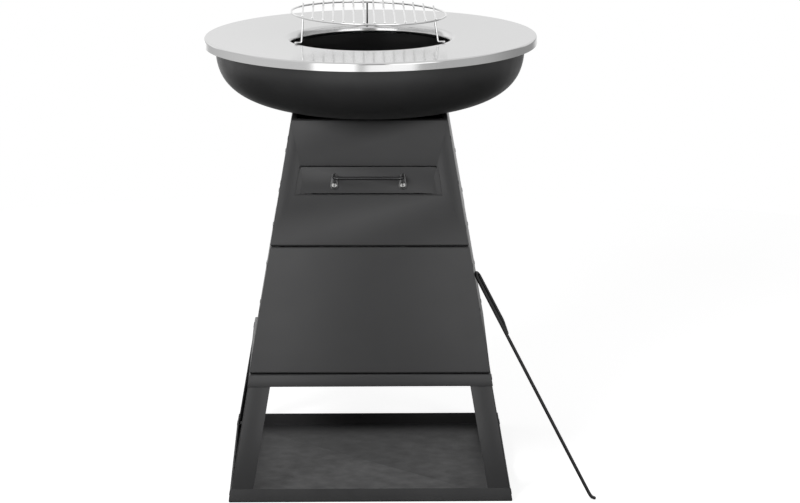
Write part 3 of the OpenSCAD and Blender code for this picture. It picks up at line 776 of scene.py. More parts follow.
@dataclass(frozen=True)
class Finishes:
    """All finishes of the grill."""

    stand: Finish = PowderCoat(
        "stand_powder_coat", (0.062, 0.062, 0.063), rough=0.31, rough_spread=0.03, specular=0.28,
        grain=0.9, grain_depth=0.008, cloud=160.0, cloud_depth=0.03, wave_depth=0.006)
    # The tray has the stand's own powder coat; this copy is a little darker and duller, and its darker
    # colour is painted shade for the tray floor under the shelf.
    tray: Finish = PowderCoat(
        "tray_coat_with_painted_shade", (0.058, 0.058, 0.059), rough=0.46, rough_spread=0.06, specular=0.13,
        grain=0.9, grain_depth=0.01, cloud=130.0, cloud_depth=0.12, wave_depth=0.006)
    drawer: Finish = PowderCoat(
        "drawer_powder_coat", (0.05, 0.05, 0.052), rough=0.45, grain=0.9, grain_depth=0.012)
    bowl: Finish = PowderCoat(
        "bowl_heatproof_paint", (0.02, 0.02, 0.0205), rough=0.42, rough_spread=0.05, specular=0.85,
        grain=0.7, grain_depth=0.015, cloud=120.0, cloud_depth=0.1, wave_depth=0.01)
    plate: Finish = TurnedSteel(
        "satin_steel_plate", (0.665, 0.665, 0.665), rough=0.13, rough_spread=0.03, metallic=1.0,
        cloud=140.0, cloud_depth=0.01, ring_depth=0.001)
    wire: Finish = Finish(
        "bright_grate_wire", (0.86, 0.86, 0.86), rough=0.1, rough_spread=0.04, metallic=1.0,
        grain=0.6, grain_depth=0.004, cloud=25.0, cloud_depth=0.04)
    poker: Finish = Finish(
        "poker_black_paint", (0.018, 0.018, 0.0185), rough=0.4, rough_spread=0.06, specular=0.35,
        grain=1.0, grain_depth=0.02, cloud=30.0, cloud_depth=0.15)
    handle: Finish = Finish(
        "handle_black_paint", (0.016, 0.016, 0.017), rough=0.2, rough_spread=0.05, specular=1.0,
        grain=0.6, grain_depth=0.008, cloud=20.0, cloud_depth=0.1)
    screw: Finish = Finish(
        "bright_zinc", (0.33, 0.33, 0.325), rough=0.24, rough_spread=0.07, metallic=1.0,
        grain=0.4, grain_depth=0.006, cloud=4.0, cloud_depth=0.08)
    zinc: Finish = Finish(
        "dull_zinc", (0.5, 0.5, 0.51), rough=0.4, rough_spread=0.08, metallic=1.0,
        grain=0.5, grain_depth=0.01, cloud=5.0, cloud_depth=0.1)
    bolt: Finish = Finish(
        "painted_bolt", (0.05, 0.05, 0.052), rough=0.4, rough_spread=0.05,
        grain=0.5, grain_depth=0.01, cloud=6.0, cloud_depth=0.08)


class Wardrobe:
    """Makes each finish once and dresses pieces in it."""

    def __init__(self, finishes: Finishes) -> None:
        """Builds all materials."""
        pairs = {Slot.STAND: finishes.stand, Slot.DRAWER: finishes.drawer, Slot.BOWL: finishes.bowl,
                 Slot.PLATE: finishes.plate, Slot.GRATE: finishes.wire, Slot.POKER: finishes.poker,
                 Slot.HANDLE: finishes.handle, Slot.SCREW: finishes.screw, Slot.ZINC: finishes.zinc,
                 Slot.BOLT: finishes.bolt}
        self.materials = {slot: finish.make() for slot, finish in pairs.items()}
        self.tray = finishes.tray.make()

    def dress(self, obj: Object, slot: Slot, body: Body, *nodes: str) -> Object:
        """Finishes a piece: the slot's material, its body and the CAD nodes that it replaces.

        Args:
            obj: The piece.
            slot: The record's slot.
            body: The body that it rides on.
            *nodes: The CAD nodes that it stands for.

        Returns:
            The piece.
        """
        obj.data.materials.clear()
        obj.data.materials.append(self.materials[slot])
        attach(obj, body.value)
        if nodes:
            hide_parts(*nodes)
        LOG.info("piece %s on %s, %d faces", obj.name, body.value, len(obj.data.polygons))
        return obj

    def dress_node(self, node: str, slot: Slot) -> None:
        """Gives a CAD node that stays a finished material."""
        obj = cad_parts[node]
        obj.data.materials.clear()
        obj.data.materials.append(self.materials[slot])
        LOG.info("node %s keeps its shape", node)


# The stand


@dataclass(frozen=True)
class Taper:
    """The stand's four leaning faces.

    Attributes:
        base_half: Half width at the floor.
        lean: Lean of the faces from upright, in degrees.
    """

    base_half: float = 338.0
    lean: float = 9.7

    @property
    def cos(self) -> float:
        """Cosine of the lean."""
        return math.cos(math.radians(self.lean))

    @property
    def sin(self) -> float:
        """Sine of the lean."""
        return math.sin(math.radians(self.lean))

    def half(self, z: float) -> float:
        """Half width at a height."""
        return self.base_half - z * self.sin / self.cos

    def on_face(self, side: Side, x: float, v: float, n: float) -> Vector:
        """Gives a point from its place across, up and out of a face.

        Args:
            side: The stand's side.
            x: Distance across, from the face's middle.
            v: Distance up along the face.
            n: Distance out of the face.

        Returns:
            The point, in millimetres.
        """
        p = Vector((x, -self.base_half + v * self.sin - n * self.cos, v * self.cos + n * self.sin))
        return spin(90 * side.value, "Z") @ p

    def outward(self, side: Side) -> Vector:
        """Gives a face's outward direction."""
        return spin(90 * side.value, "Z") @ Vector((0, -self.cos, self.sin))


class Stack(Enum):
    """The stacked parts of the stand, each a little askew.

    The values are a turn in degrees and a shift to the left in millimetres.
    """

    BASE = (0.35, 2.8)
    MIDDLE = (-0.3, 0.0)
    UPPER = (-0.45, 0.0)
    DRAWER = (-0.45, 2.4)

    def place(self, p: Vector) -> Vector:
        """Moves a point or an offset of the straight stand to its own place."""
        angle, left = self.value
        shift = Vector((left, 0, 0))
        if self is Stack.DRAWER:
            return spin(angle, "Z") @ (p - shift)
        return spin(angle, "Z") @ p - shift

    def turn(self, n: Vector) -> Vector:
        """Turns a direction."""
        return spin(self.value[0], "Z") @ n

    def settle(self, obj: Object) -> Object:
        """Moves a finished object's mesh from the straight stand to this stack's place."""
        return move(obj, self.place)


@dataclass
class Stand:
    """Base tray, legs, shelf frame and the two tiers of panels.

    Attributes:
        wardrobe: The finishes.
        taper: The leaning faces.
        tray_h: Height of the tray's wall.
        apron_z: Underside of the shelf frame.
        shelf_z: Seam above the shelf frame.
        middle_z: Seam between the tiers.
        stand_z: Height of the mouth.
        sheet: Thickness of the sheets.
        bend: Outside radius of their bends.
        flange: Depth of the flanges at the seams.
        mouth_flange: Depth of the flange round the mouth.
        mitre_gap: Gap along the mitred corners.
        leg_w: Width of the legs' flanges.
        leg_t: Thickness of the legs.
        leg_bend: Outside radius of their fold.
        angle_w: Width of the corner angles.
        opening: Lower and upper edge of the drawer opening.
        margin: Distance from the opening to the stand's edges.
        opening_r: Radius of the opening's upper corners.
        lip: Depth of the lips round the opening.
        seam: Height of the open seam under each tier.
        screw_end: Distance of the outer panel screws from the seams.
    """

    wardrobe: Wardrobe
    taper: Taper = field(default_factory=Taper)
    tray_h: float = 32.0
    apron_z: float = 272.0
    shelf_z: float = 300.0
    middle_z: float = 598.0
    stand_z: float = 896.0
    sheet: float = 2.0
    bend: float = 4.0
    flange: float = 22.0
    mouth_flange: float = 12.0
    mitre_gap: float = 0.3
    leg_w: float = 52.0
    leg_t: float = 3.0
    leg_bend: float = 3.6
    angle_w: float = 20.0
    opening: Point = (720.5, 788.0)
    margin: float = 41.0
    opening_r: float = 6.0
    lip: float = 16.0
    seam: float = 2.4
    screw_end: float = 45.0

    @property
    def face_t(self) -> float:
        """Thickness of a leaning sheet, measured level."""
        return self.sheet / self.taper.cos

    def build(self) -> None:
        """Builds and dresses every piece of the stand."""
        half = self.taper.half
        tray = self.pan("base_tray", [(HAIR, 0), (half(0), 0), (half(self.tray_h), self.tray_h)])
        # The tray gets the darker copy of the stand's paint, whose darker colour is painted shade under the
        # shelf.
        tray.data.materials[0] = self.wardrobe.tray
        self.pan("shelf_frame", [(half(self.apron_z), self.apron_z), (half(self.shelf_z), self.shelf_z),
                                 (HAIR, self.shelf_z)])
        self.legs()
        for side in Side:
            self.panel("middle", side, self.shelf_z, self.middle_z, self.flange)
            self.panel("upper", side, self.middle_z, self.stand_z, self.mouth_flange)
        self.fasteners()
        for node in ("middle_corner_angles", "upper_corner_angles", "drawer_runner_left",
                     "drawer_runner_right"):
            self.wardrobe.dress_node(node, Slot.STAND)
        for node in ("leg_nuts", "panel_nuts"):
            self.wardrobe.dress_node(node, Slot.ZINC)

    def pan(self, node: str, path: Sequence[Point]) -> Object:
        """Builds a square sheet with a folded wall all round: the tray or the shelf frame.

        Args:
            node: The CAD node.
            path: Distance from the middle and height of one face of the sheet.

        Returns:
            The dressed sheet.
        """
        profile = sheet_outline(path, [0, self.bend, 0], self.sheet, 6)
        corners = ((-1, -1), (1, -1), (1, 1), (-1, 1))
        verts = [(sx * p[0], sy * p[0], p[1]) for sx, sy in corners for p in profile]
        obj = mesh_object(f"{node}_sheet", verts, skin(4, len(profile), True))
        soften(obj, 0.5)
        return self.wardrobe.dress(Stack.BASE.settle(obj), Slot.STAND, Body.STAND, node)

    def legs(self) -> None:
        """Builds the four folded corner legs."""
        w, inset = self.leg_w, self.face_t + HAIR
        z0, z1 = self.sheet + HAIR, self.shelf_z - self.sheet - HAIR
        path, level_t = [(w, 0), (0, 0), (0, w)], self.leg_t / self.taper.cos
        outline = sheet_outline(path, [0, self.leg_bend, 0], -level_t, 4)
        for name, sx, sy in (("front_left", -1, -1), ("front_right", 1, -1), ("rear_left", -1, 1),
                             ("rear_right", 1, 1)):

            def place(a: float, b: float, z: float) -> Vector:
                """Places a point of the angle's section at a height."""
                h = self.taper.half(z) - inset
                return Vector((sx * (h - a), sy * (h - b), z))

            obj = prism(f"leg_{name}_angle", outline, place, z0, z1)
            soften(obj, 0.4)
            self.wardrobe.dress(Stack.BASE.settle(obj), Slot.STAND, Body.STAND, f"leg_{name}")

    def panel(self, tier: str, side: Side, z0: float, z1: float, top: float) -> None:
        """Builds one folded panel of a tier.

        Args:
            tier: Name of the tier.
            side: Side of the stand.
            z0: Lower seam.
            z1: Upper seam.
            top: Depth of the upper flange.
        """
        half, low = self.taper.half, z0 + self.seam
        path = [(half(low) - self.flange, low), (half(low), low), (half(z1), z1), (half(z1) - top, z1)]
        outline = sheet_outline(path, [0, self.bend, self.bend, 0], self.sheet, 6)
        turn, gap = spin(90 * side.value, "Z"), self.mitre_gap / 2 * math.sqrt(2)
        name = f"{tier}_{side.name.lower()}"
        obj = prism(f"{name}_sheet", outline, lambda a, b, s: turn @ Vector((s * (a - gap), -a, b)), -1, 1)
        if tier == "upper" and side is Side.FRONT:
            obj = self.drawer_opening(obj)
        soften(obj, 0.45)
        self.wardrobe.dress(Stack[tier.upper()].settle(obj), Slot.STAND, Body.STAND, f"{name}_panel")

    def opening_outline(self, g: float, top: float, shift: float = 0.0) -> list[Vector]:
        """Gives the drawer opening, seen from the front.

        Args:
            g: How far it is drawn in at the sides and below.
            top: How far it is drawn in above.
            shift: How far it stands to the left.

        Returns:
            The outline, from its lower left corner on.
        """
        low, high = self.opening
        a, b = self.taper.half(low) - self.margin - g, self.taper.half(high) - self.margin - g
        corners = ((-a, low + g), (a, low + g), (b, high - top), (-b, high - top))
        r = self.opening_r - g
        return rounded([Vector((x - shift, z)) for x, z in corners], [0, 0, r, r], 8, True)

    def slab(self, name: str, outline: Sequence[Point], d0: float, d1: float) -> Object:
        """Makes a layer of the front face from an outline seen from the front.

        Args:
            name: The object's name.
            outline: Points across and up, cut level from front to back.
            d0: Depth of its front behind the face.
            d1: Depth of its back behind the face.

        Returns:
            The closed solid.
        """
        def place(x: float, z: float, d: float) -> Vector:
            """Places a point at a depth behind the leaning face."""
            return Vector((x, -self.taper.half(z) + d / self.taper.cos, z))

        return prism(name, outline, place, d0, d1)

    def drawer_opening(self, obj: Object) -> Object:
        """Cuts the drawer's opening into the upper front sheet and gives it its lips."""
        shift, half = Stack.DRAWER.value[1], self.sheet / 2
        before, behind = -20, 30
        cut(obj, self.slab("opening_cutter", self.opening_outline(-half, -half, shift), before, behind))
        outer = self.slab("lip_outer", self.opening_outline(-self.sheet, -self.sheet, shift), 0, self.lip)
        cut(outer, self.slab("lip_cutter", self.opening_outline(0, 0, shift), before, behind))
        for part in (outer, obj):
            part.data.materials.clear()
        return joined(obj.name, [obj, outer])

    def flank_spots(self, stack: Stack, heights: Iterable[float], inset: float) -> list[Spot]:
        """Gives the fasteners' places near both edges of the right and left side.

        Args:
            stack: The part of the stand.
            heights: The fasteners' heights.
            inset: Their distance from the inner faces of the front and rear sheets.

        Returns:
            Their places and directions.
        """
        spots = []
        for side in (Side.RIGHT, Side.LEFT):
            for z in heights:
                x = self.taper.half(z) - self.face_t - inset
                for s in (-1, 1):
                    at = self.taper.on_face(side, s * x, z / self.taper.cos, HAIR)
                    spots.append((stack.place(at), stack.turn(self.taper.outward(side))))
        return spots

    def fasten(self, kind: str, spots: Sequence[Spot], sizes: dict[str, float]) -> None:
        """Builds and dresses all fasteners of one kind.

        Args:
            kind: What they are.
            spots: Their places and directions.
            sizes: Values of their tree's inputs.
        """
        tree = HeadTree(f"{kind}_tree", self.wardrobe.materials[Slot.BOLT])
        obj = tree.grow(f"{kind}_heads", sizes, spots)
        tidy(obj)
        self.wardrobe.dress(obj, Slot.BOLT, Body.STAND, f"{kind}s")

    def fasteners(self) -> None:
        """Builds the panel screws and leg bolts with node trees."""
        tiers = ((Stack.MIDDLE, self.shelf_z, self.middle_z), (Stack.UPPER, self.middle_z, self.stand_z))
        spots = [spot for stack, z0, z1 in tiers for spot in self.flank_spots(
            stack, (z0 + self.screw_end, (z0 + z1) / 2, z1 - self.screw_end), self.angle_w / 2 + 1)]
        self.fasten("panel_screw", spots, {
            "Head diameter": 10.0 * MM, "Head height": 1.0 * MM, "Crown": 0.88, "Sides": 40,
            "Socket width": 3.0 * MM, "Socket depth": 0.6 * MM, "Shank diameter": 5.0 * MM,
            "Shank length": 9.5 * MM})
        heights = (self.tray_h / 2, (self.apron_z + self.shelf_z) / 2)
        self.fasten("leg_bolt", self.flank_spots(Stack.BASE, heights, self.leg_w * 0.55), {
            "Head diameter": 14.0 * MM, "Head height": 1.0 * MM, "Crown": 0.92, "Sides": 48,
            "Socket width": 4.0 * MM, "Socket depth": 0.5 * MM, "Shank diameter": 6.0 * MM,
            "Shank length": 12.6 * MM})


class HeadTree(ShapeTree):
    """A tree that puts a flat-headed screw or bolt at each point."""

    def __init__(self, name: str, material: Material) -> None:
        """Builds the tree.

        Args:
            name: Name of the tree.
            material: Material of the fasteners.
        """
        super().__init__(name)
        width, height, crown, sides, socket_w, socket_d, shank_w, shank_l = self.numbers({
            "Head diameter": 0.01, "Head height": 0.003, "Crown": 0.8, "Sides": 32, "Socket width": 0.003,
            "Socket depth": 0.001, "Shank diameter": 0.005, "Shank length": 0.01})
        radius, shank_r, socket_r = width * 0.5, shank_w * 0.5, socket_w * 0.58
        shoulder = height * 0.6
        parts = [self.drum(sides, radius, radius, shoulder, 0.0),
                 self.drum(sides, radius, radius * crown, height * 0.4, shoulder),
                 self.drum(24, shank_r, shank_r, shank_l, shank_l * -1.0)]
        socket = self.drum(6, socket_r, socket_r, socket_d * 2.0, height - socket_d)
        self.spread(self.boolean("DIFFERENCE", [socket], self.boolean("UNION", parts)), material)

    def drum(self, sides: Value | int, low: Value, high: Value, height: Value, z: Value | float) -> Socket:
        """Adds a cone frustum that stands on a height.

        Args:
            sides: Number of sides.
            low: Radius below.
            high: Radius above.
            height: Height.
            z: Height of its base.

        Returns:
            The frustum's geometry.
        """
        cone = self.add("GeometryNodeMeshCone", {
            "Vertices": sides, "Radius Top": high, "Radius Bottom": low, "Depth": height})
        return self.moved(cone, self.vector(z=z))


# The drawer


@dataclass
class Drawer:
    """Ash drawer with its front, handle and screws.

    Attributes:
        wardrobe: The finishes.
        stand: The stand that the drawer slides in.
        inset: How far the front sits behind the panel's face.
        front_t: Thickness of the front.
        gap: Gap at its sides and lower corners.
        top_gap: Gap above it.
        relief: Width and height of the relief along its lower edge.
        flank_w: Width of the slope along each side.
        flank_top: Length of its upper end, which fades out.
        flank_step: Depth at which it stays behind the panel's face.
        pitch: Distance between the handle's screws.
        rod_d: Diameter of the handle's rod.
        reach: Distance from the front to the bar.
        bar_z: Height of the bar.
        drop: Distance along the face from the bar to the screws.
        tab_w: Width of the tabs.
        neck_w: Width of their necks.
        tab_t: Thickness of the tabs.
        rod_bend: Radius of the rod's bends.
    """

    wardrobe: Wardrobe
    stand: Stand
    inset: float = 5.0
    front_t: float = 3.0
    gap: float = 0.15
    top_gap: float = 3.0
    relief: Point = (300.0, 2.6)
    flank_w: float = 11.0
    flank_top: float = 22.0
    flank_step: float = 0.7
    pitch: float = 162.0
    rod_d: float = 8.0
    reach: float = 36.0
    bar_z: float = 765.0
    drop: float = 23.0
    tab_w: float = 20.0
    neck_w: float = 12.0
    tab_t: float = 3.5
    rod_bend: float = 10.0

    @property
    def screw_v(self) -> float:
        """Height of the screws along the face."""
        return self.bar_z / self.stand.taper.cos - self.drop

    def build(self) -> None:
        """Builds and dresses every piece of the drawer."""
        self.front()
        self.handle()
        self.screws()
        self.wardrobe.dress_node("ash_drawer", Slot.DRAWER)
        self.wardrobe.dress_node("handle_nuts", Slot.ZINC)

    def front(self) -> None:
        """Builds the leaning front with the relief along its lower edge."""
        low, *rest = self.stand.opening_outline(self.gap, self.top_gap)
        w, h = self.relief[0] / 2, self.relief[1]
        outline = [low, (-w, low.y), (-w, low.y + h), (w, low.y + h), (w, low.y), *rest]
        slab = self.stand.slab("drawer_front_plate", outline, self.inset, self.inset + self.front_t)
        soften(slab, 0.25)
        obj = joined("drawer_front_plate", [slab, self.flank(-1), self.flank(1)])
        Stack.DRAWER.settle(obj)
        self.wardrobe.dress(obj, Slot.STAND, Body.DRAWER, "drawer_front")

    def flank(self, s: int) -> Object:
        """Builds the slope that brings a side of the front up to the panel's face, fading out at its top.

        Args:
            s: -1 for the left side, 1 for the right.

        Returns:
            The closed slope.
        """
        taper, (low, high) = self.stand.taper, self.stand.opening
        top = high - self.top_gap
        back, sunk = self.inset + 0.5, self.inset - HAIR
        verts: list[Vector] = []
        for z, share in ((low + self.gap, 1.0), (top - self.flank_top, 1.0), (top - 1.0, 0.06)):
            edge = taper.half(z) - self.stand.margin - self.gap
            crest, w = self.inset - (self.inset - self.flank_step) * share, self.flank_w * share
            for a, d in ((0.0, crest), (0.0, back), (w, back), (w, sunk)):
                verts.append(Vector((s * (edge - a), -taper.half(z) + d / taper.cos, z)))
        return mesh_object("drawer_front_flank", verts, [[0, 1, 2, 3], [8, 9, 10, 11], *skin(3, 4)])

    def handle(self) -> None:
        """Builds the bent rod and its flattened tabs."""
        taper, z = self.stand.taper, self.bar_z
        x, bar_v = self.pitch / 2, z / taper.cos
        arm_y = -taper.half(z) + self.inset / taper.cos
        root_y, bar_y = arm_y - self.tab_t * 0.6, arm_y - self.reach
        corners = [Vector((a, b, z)) for a, b in ((-x, root_y), (-x, bar_y), (x, bar_y), (x, root_y))]
        rod = rounded(corners, [0, self.rod_bend, self.rod_bend, 0], 10)
        parts = [tube("handle_rod", rod, self.rod_d, 24)]
        for s in (-1, 1):
            outline = arc(self.tab_w / 2, map(math.radians, range(180, 361, 12)), s * x, self.screw_v)
            outline += arc(self.neck_w / 2, map(math.radians, range(0, 181, 15)), s * x, bar_v)
            tab = prism(f"handle_tab_{s}", outline, lambda a, b, n: taper.on_face(Side.FRONT, a, b, n),
                        -self.inset + HAIR, -self.inset + self.tab_t)
            soften(tab, 0.9, 3)
            parts.append(tab)
        obj = Stack.DRAWER.settle(joined("drawer_handle_rod", parts))
        self.wardrobe.dress(obj, Slot.HANDLE, Body.DRAWER, "drawer_handle")

    def screws(self) -> None:
        """Builds the two round-headed screws with their cross recess."""
        taper, out = self.stand.taper, self.tab_t + 2 * HAIR - self.inset
        spots = [(taper.on_face(Side.FRONT, x, self.screw_v, out), taper.outward(Side.FRONT))
                 for x in (-self.pitch / 2, self.pitch / 2)]
        tree = CrossScrewTree("handle_screw_tree", self.wardrobe.materials[Slot.SCREW])
        obj = tree.grow("handle_screw_heads", {
            "Head diameter": 15.6 * MM, "Head height": 4.0 * MM, "Recess length": 6.4 * MM,
            "Recess width": 1.5 * MM, "Recess depth": 1.9 * MM}, spots)
        tidy(obj)
        self.wardrobe.dress(Stack.DRAWER.settle(obj), Slot.SCREW, Body.DRAWER, "handle_screws")


class CrossScrewTree(ShapeTree):
    """A tree that puts a domed screw with a cross recess at each point."""

    def __init__(self, name: str, material: Material) -> None:
        """Builds the tree.

        Args:
            name: Name of the tree.
            material: Material of the screws.
        """
        super().__init__(name)
        width, height, length, slot_w, depth = self.numbers({
            "Head diameter": 0.014, "Head height": 0.004, "Recess length": 0.006, "Recess width": 0.0015,
            "Recess depth": 0.0018})
        edge, radius = height * 0.2, width * 0.5
        dome = self.add("GeometryNodeMeshUVSphere", {"Segments": 40, "Rings": 24, "Radius": 1.0})
        disc = self.add("GeometryNodeMeshCylinder", {"Vertices": 40, "Radius": radius, "Depth": height})
        head = self.boolean("UNION", [
            self.moved(dome, self.vector(z=edge), self.vector(radius, radius, height - edge)),
            self.moved(disc, self.vector(z=edge - height * 0.5))])
        below = self.add("GeometryNodeMeshCube", {"Size": (0.04, 0.04, 0.02)})
        cuts = [self.moved(below, (0, 0, -0.01))]
        for a, b in ((length, slot_w), (slot_w, length)):
            bar = self.add("GeometryNodeMeshCube", {"Size": self.vector(a, b, depth * 2.0)})
            cuts.append(self.moved(bar, self.vector(z=height)))
        self.spread(self.boolean("DIFFERENCE", cuts, head), material)


# The fire bowl and the hot plate


class BowlTree(ShapeTree):
    """A tree that shapes a grid into the bowl's full curve."""

    def __init__(self, name: str, material: Material) -> None:
        """Builds the tree.

        Args:
            name: Name of the tree.
            material: Material of the bowl.
        """
        super().__init__(name)
        radius, depth, power, top, start, around, down = self.numbers({
            "Radius": 0.37, "Depth": 0.178, "Fullness": 3.0, "Curve top": 1.068, "Rim fraction": 0.03,
            "Steps round": 256, "Steps down": 64})
        grid = self.add("GeometryNodeMeshGrid", {
            "Size X": 1.0, "Size Y": 1.0, "Vertices X": around, "Vertices Y": down})
        across, along, _ = self.parts(self.add("GeometryNodeInputPosition").outputs[0])
        angle = (across + 0.5) * (2 * math.pi)
        sweep = self.math("SINE", (along + 0.5) * (math.pi / 2))
        fall = self.math("MINIMUM", start + (1.0 - start) * sweep, 1.0)
        r = radius * (1.0 - fall ** power) ** (1.0 / power)
        spot = self.vector(r * self.math("COSINE", angle), r * self.math("SINE", angle), top - depth * fall)
        shaped = self.add("GeometryNodeSetPosition", {"Geometry": grid.outputs[0], "Position": spot})
        closed = self.add("GeometryNodeMergeByDistance", {
            "Geometry": shaped.outputs[0], "Distance": 0.00001})
        self.finish(closed.outputs[0], material)


@dataclass
class FireBowl:
    """The dark bowl that holds the fire.

    Attributes:
        wardrobe: The finishes.
        seat_r: Radius that rests on the stand's mouth.
        seat_z: Height of the stand's mouth.
        r: Outside radius at the rim.
        depth: Depth of the curve.
        power: Fullness of the curve.
        t: Thickness.
        rim: Width of the folded rim.
        rim_z: Height of the rim's top.
        ash_d: Diameter of the middle hole.
        air_d: Diameter of the air holes.
        air_r: Radius of their ring.
        air_n: Number of air holes.
        shift: How far it stands off to the right.
        seat_gap: Gap between its wall and the stand's mouth.
    """

    wardrobe: Wardrobe
    seat_r: float
    seat_z: float
    rim_z: float
    r: float = 372.2
    depth: float = 178.5
    power: float = 3.2
    t: float = 3.0
    rim: float = 8.0
    ash_d: float = 30.0
    air_d: float = 14.0
    air_r: float = 70.0
    air_n: int = 8
    shift: float = 0.8
    seat_gap: float = 0.7

    @property
    def top_z(self) -> float:
        """Height at which the curve would be upright."""
        rise = self.depth * (1 - (self.seat_r / self.r) ** self.power) ** (1 / self.power)
        return self.seat_z + self.seat_gap + rise

    def build(self) -> None:
        """Builds and dresses the bowl."""
        start = (self.top_z - (self.rim_z - self.t)) / self.depth
        obj = BowlTree("bowl_curve_tree", self.wardrobe.materials[Slot.BOWL]).grow("fire_bowl_shell", {
            "Radius": self.r * MM, "Depth": self.depth * MM, "Fullness": self.power,
            "Curve top": self.top_z * MM, "Rim fraction": start, "Steps round": 257, "Steps down": 72})
        tidy(obj, 0.02)
        if sum(p.normal.z for p in obj.data.polygons) > 0:
            obj.data.flip_normals()
        mod = obj.modifiers.new("wall", "SOLIDIFY")
        mod.thickness = self.t * MM
        mod.offset = -1.0
        mod.use_even_offset = True
        bake(obj)
        cut(obj, self.holes())
        obj = joined("fire_bowl_shell", [obj, self.fold()])
        obj.data.transform(Matrix.Translation((self.shift * MM, 0, 0)))
        smooth(obj, 40)
        self.wardrobe.dress(obj, Slot.BOWL, Body.BOWL, "fire_bowl")

    def fold(self) -> Object:
        """Builds the rim that is folded outwards."""
        inner, wall, outer = self.r - self.t, self.r - 0.2, self.r + self.rim
        top, under, foot = self.rim_z, self.rim_z - self.t, self.rim_z - self.t - 2
        corners = [(inner, foot), (wall, foot), (wall, under), (outer, under), (outer, top), (inner, top)]
        return lathe("bowl_rim", rounded([Vector(c) for c in corners], [0, 0, 2, 1, 1, 2.5], 4, True))

    def holes(self) -> Object:
        """Makes the cutter of the ash and air holes."""
        z0, z1 = self.top_z - self.depth - 10, self.top_z - self.depth + 25
        air = arc(self.air_r, [2 * math.pi * (i + 0.5) / self.air_n for i in range(self.air_n)])
        spots = [(0.0, 0.0, self.ash_d)] + [(x, y, self.air_d) for x, y in air]
        parts = [prism(f"hole_{i}", circle(d / 2, 40, x, y), lambda a, b, h: Vector((a, b, h)), z0, z1)
                 for i, (x, y, d) in enumerate(spots)]
        return joined("bowl_holes", parts)


@dataclass
class HotPlate:
    """The ring-shaped cooking plate.

    Attributes:
        wardrobe: The finishes.
        r: Outside radius.
        z: Height of the outer edge.
        t: Thickness.
        rim_h: Height of the turned-down rim.
        rim_bend: Outside radius of its bend.
        mouth_r: Radius of the centre opening.
        lip_r: Radius of its rounded lip.
        lip_h: Depth of the lip.
        dish: How much lower the plate is at the opening.
        lift: How much it stands up from its level seat.
        roll: How much its right side stands up, in degrees.
        pitch: How much its far side stands up, in degrees.
        shift: How far it stands off to the right.
    """

    wardrobe: Wardrobe
    r: float = 400.0
    z: float = 1066.0
    t: float = 4.0
    rim_h: float = 20.8
    rim_bend: float = 5.0
    mouth_r: float = 189.8
    lip_r: float = 17.0
    lip_h: float = 22.5
    dish: float = 4.4
    lift: float = 2.3
    roll: float = 0.34
    pitch: float = 0.11
    shift: float = 1.6

    def under(self, r: float) -> float:
        """Height of the plate's underside at a radius."""
        return self.z - self.dish * (self.r - r) / (self.r - self.mouth_r) - self.t

    def settle(self, obj: Object, shift: float = 0.0) -> Object:
        """Turns a mesh with the plate, which stands a little askew on the bowl.

        Args:
            obj: The piece.
            shift: How far it moves to the right.

        Returns:
            The piece.
        """
        turn = spin(-self.roll, "Y") @ spin(self.pitch, "X")
        low, high = Vector((0, 0, self.z)), Vector((shift, 0, self.z + self.lift))
        return move(obj, lambda p: turn @ (p - low) + high)

    def build(self) -> None:
        """Builds and dresses the plate."""
        low = self.z - self.dish
        path = [(self.r, self.z - self.rim_h), (self.r, self.z),
                (self.mouth_r, low), (self.mouth_r, low - self.lip_h)]
        outline = sheet_outline(path, [0, self.rim_bend, self.lip_r, 0], self.t, 14)
        obj = lathe("hot_plate_sheet", outline, 320)
        soften(obj, 0.6, 3)
        even = obj.modifiers.new("even", "WEIGHTED_NORMAL")
        even.keep_sharp = True
        bake(obj)
        self.settle(obj, self.shift)
        self.wardrobe.dress(obj, Slot.PLATE, Body.PLATE, "hot_plate")


# The grate


class BarsTree(ShapeTree):
    """A tree that lays straight bars across a ring, each as long as the ring is wide there."""

    def __init__(self, name: str, material: Material) -> None:
        """Builds the tree.

        Args:
            name: Name of the tree.
            material: Material of the bars.
        """
        super().__init__(name)
        count, pitch, ring, wire, over, height = self.numbers({
            "Bars": 14, "Pitch": 0.024, "Ring radius": 0.186, "Wire diameter": 0.0046, "Overhang": 0.001,
            "Height": 1.12})
        start = self.vector((count - 1.0) * pitch * -0.5, z=height)
        row = self.add("GeometryNodeMeshLine", {
            "Count": count, "Start Location": start, "Offset": self.vector(pitch)},
            mode="OFFSET", count_mode="TOTAL")
        x = self.parts(self.add("GeometryNodeInputPosition").outputs[0])[0]
        length = self.math("SQRT", ring * ring - x * x) + over
        line = self.add("GeometryNodeCurvePrimitiveLine", {"Start": (0, -1, 0), "End": (0, 1, 0)})
        laid = self.add("GeometryNodeInstanceOnPoints", {
            "Points": row.outputs[0], "Instance": line.outputs[0], "Scale": self.vector(1.0, length, 1.0)})
        curves = self.add("GeometryNodeRealizeInstances", {0: laid.outputs[0]})
        section = self.add("GeometryNodeCurvePrimitiveCircle", {"Resolution": 20, "Radius": wire * 0.5})
        solid = self.add("GeometryNodeCurveToMesh", {
            "Curve": curves.outputs[0], "Profile Curve": section.outputs[0], "Fill Caps": True})
        self.finish(solid.outputs[0], material)


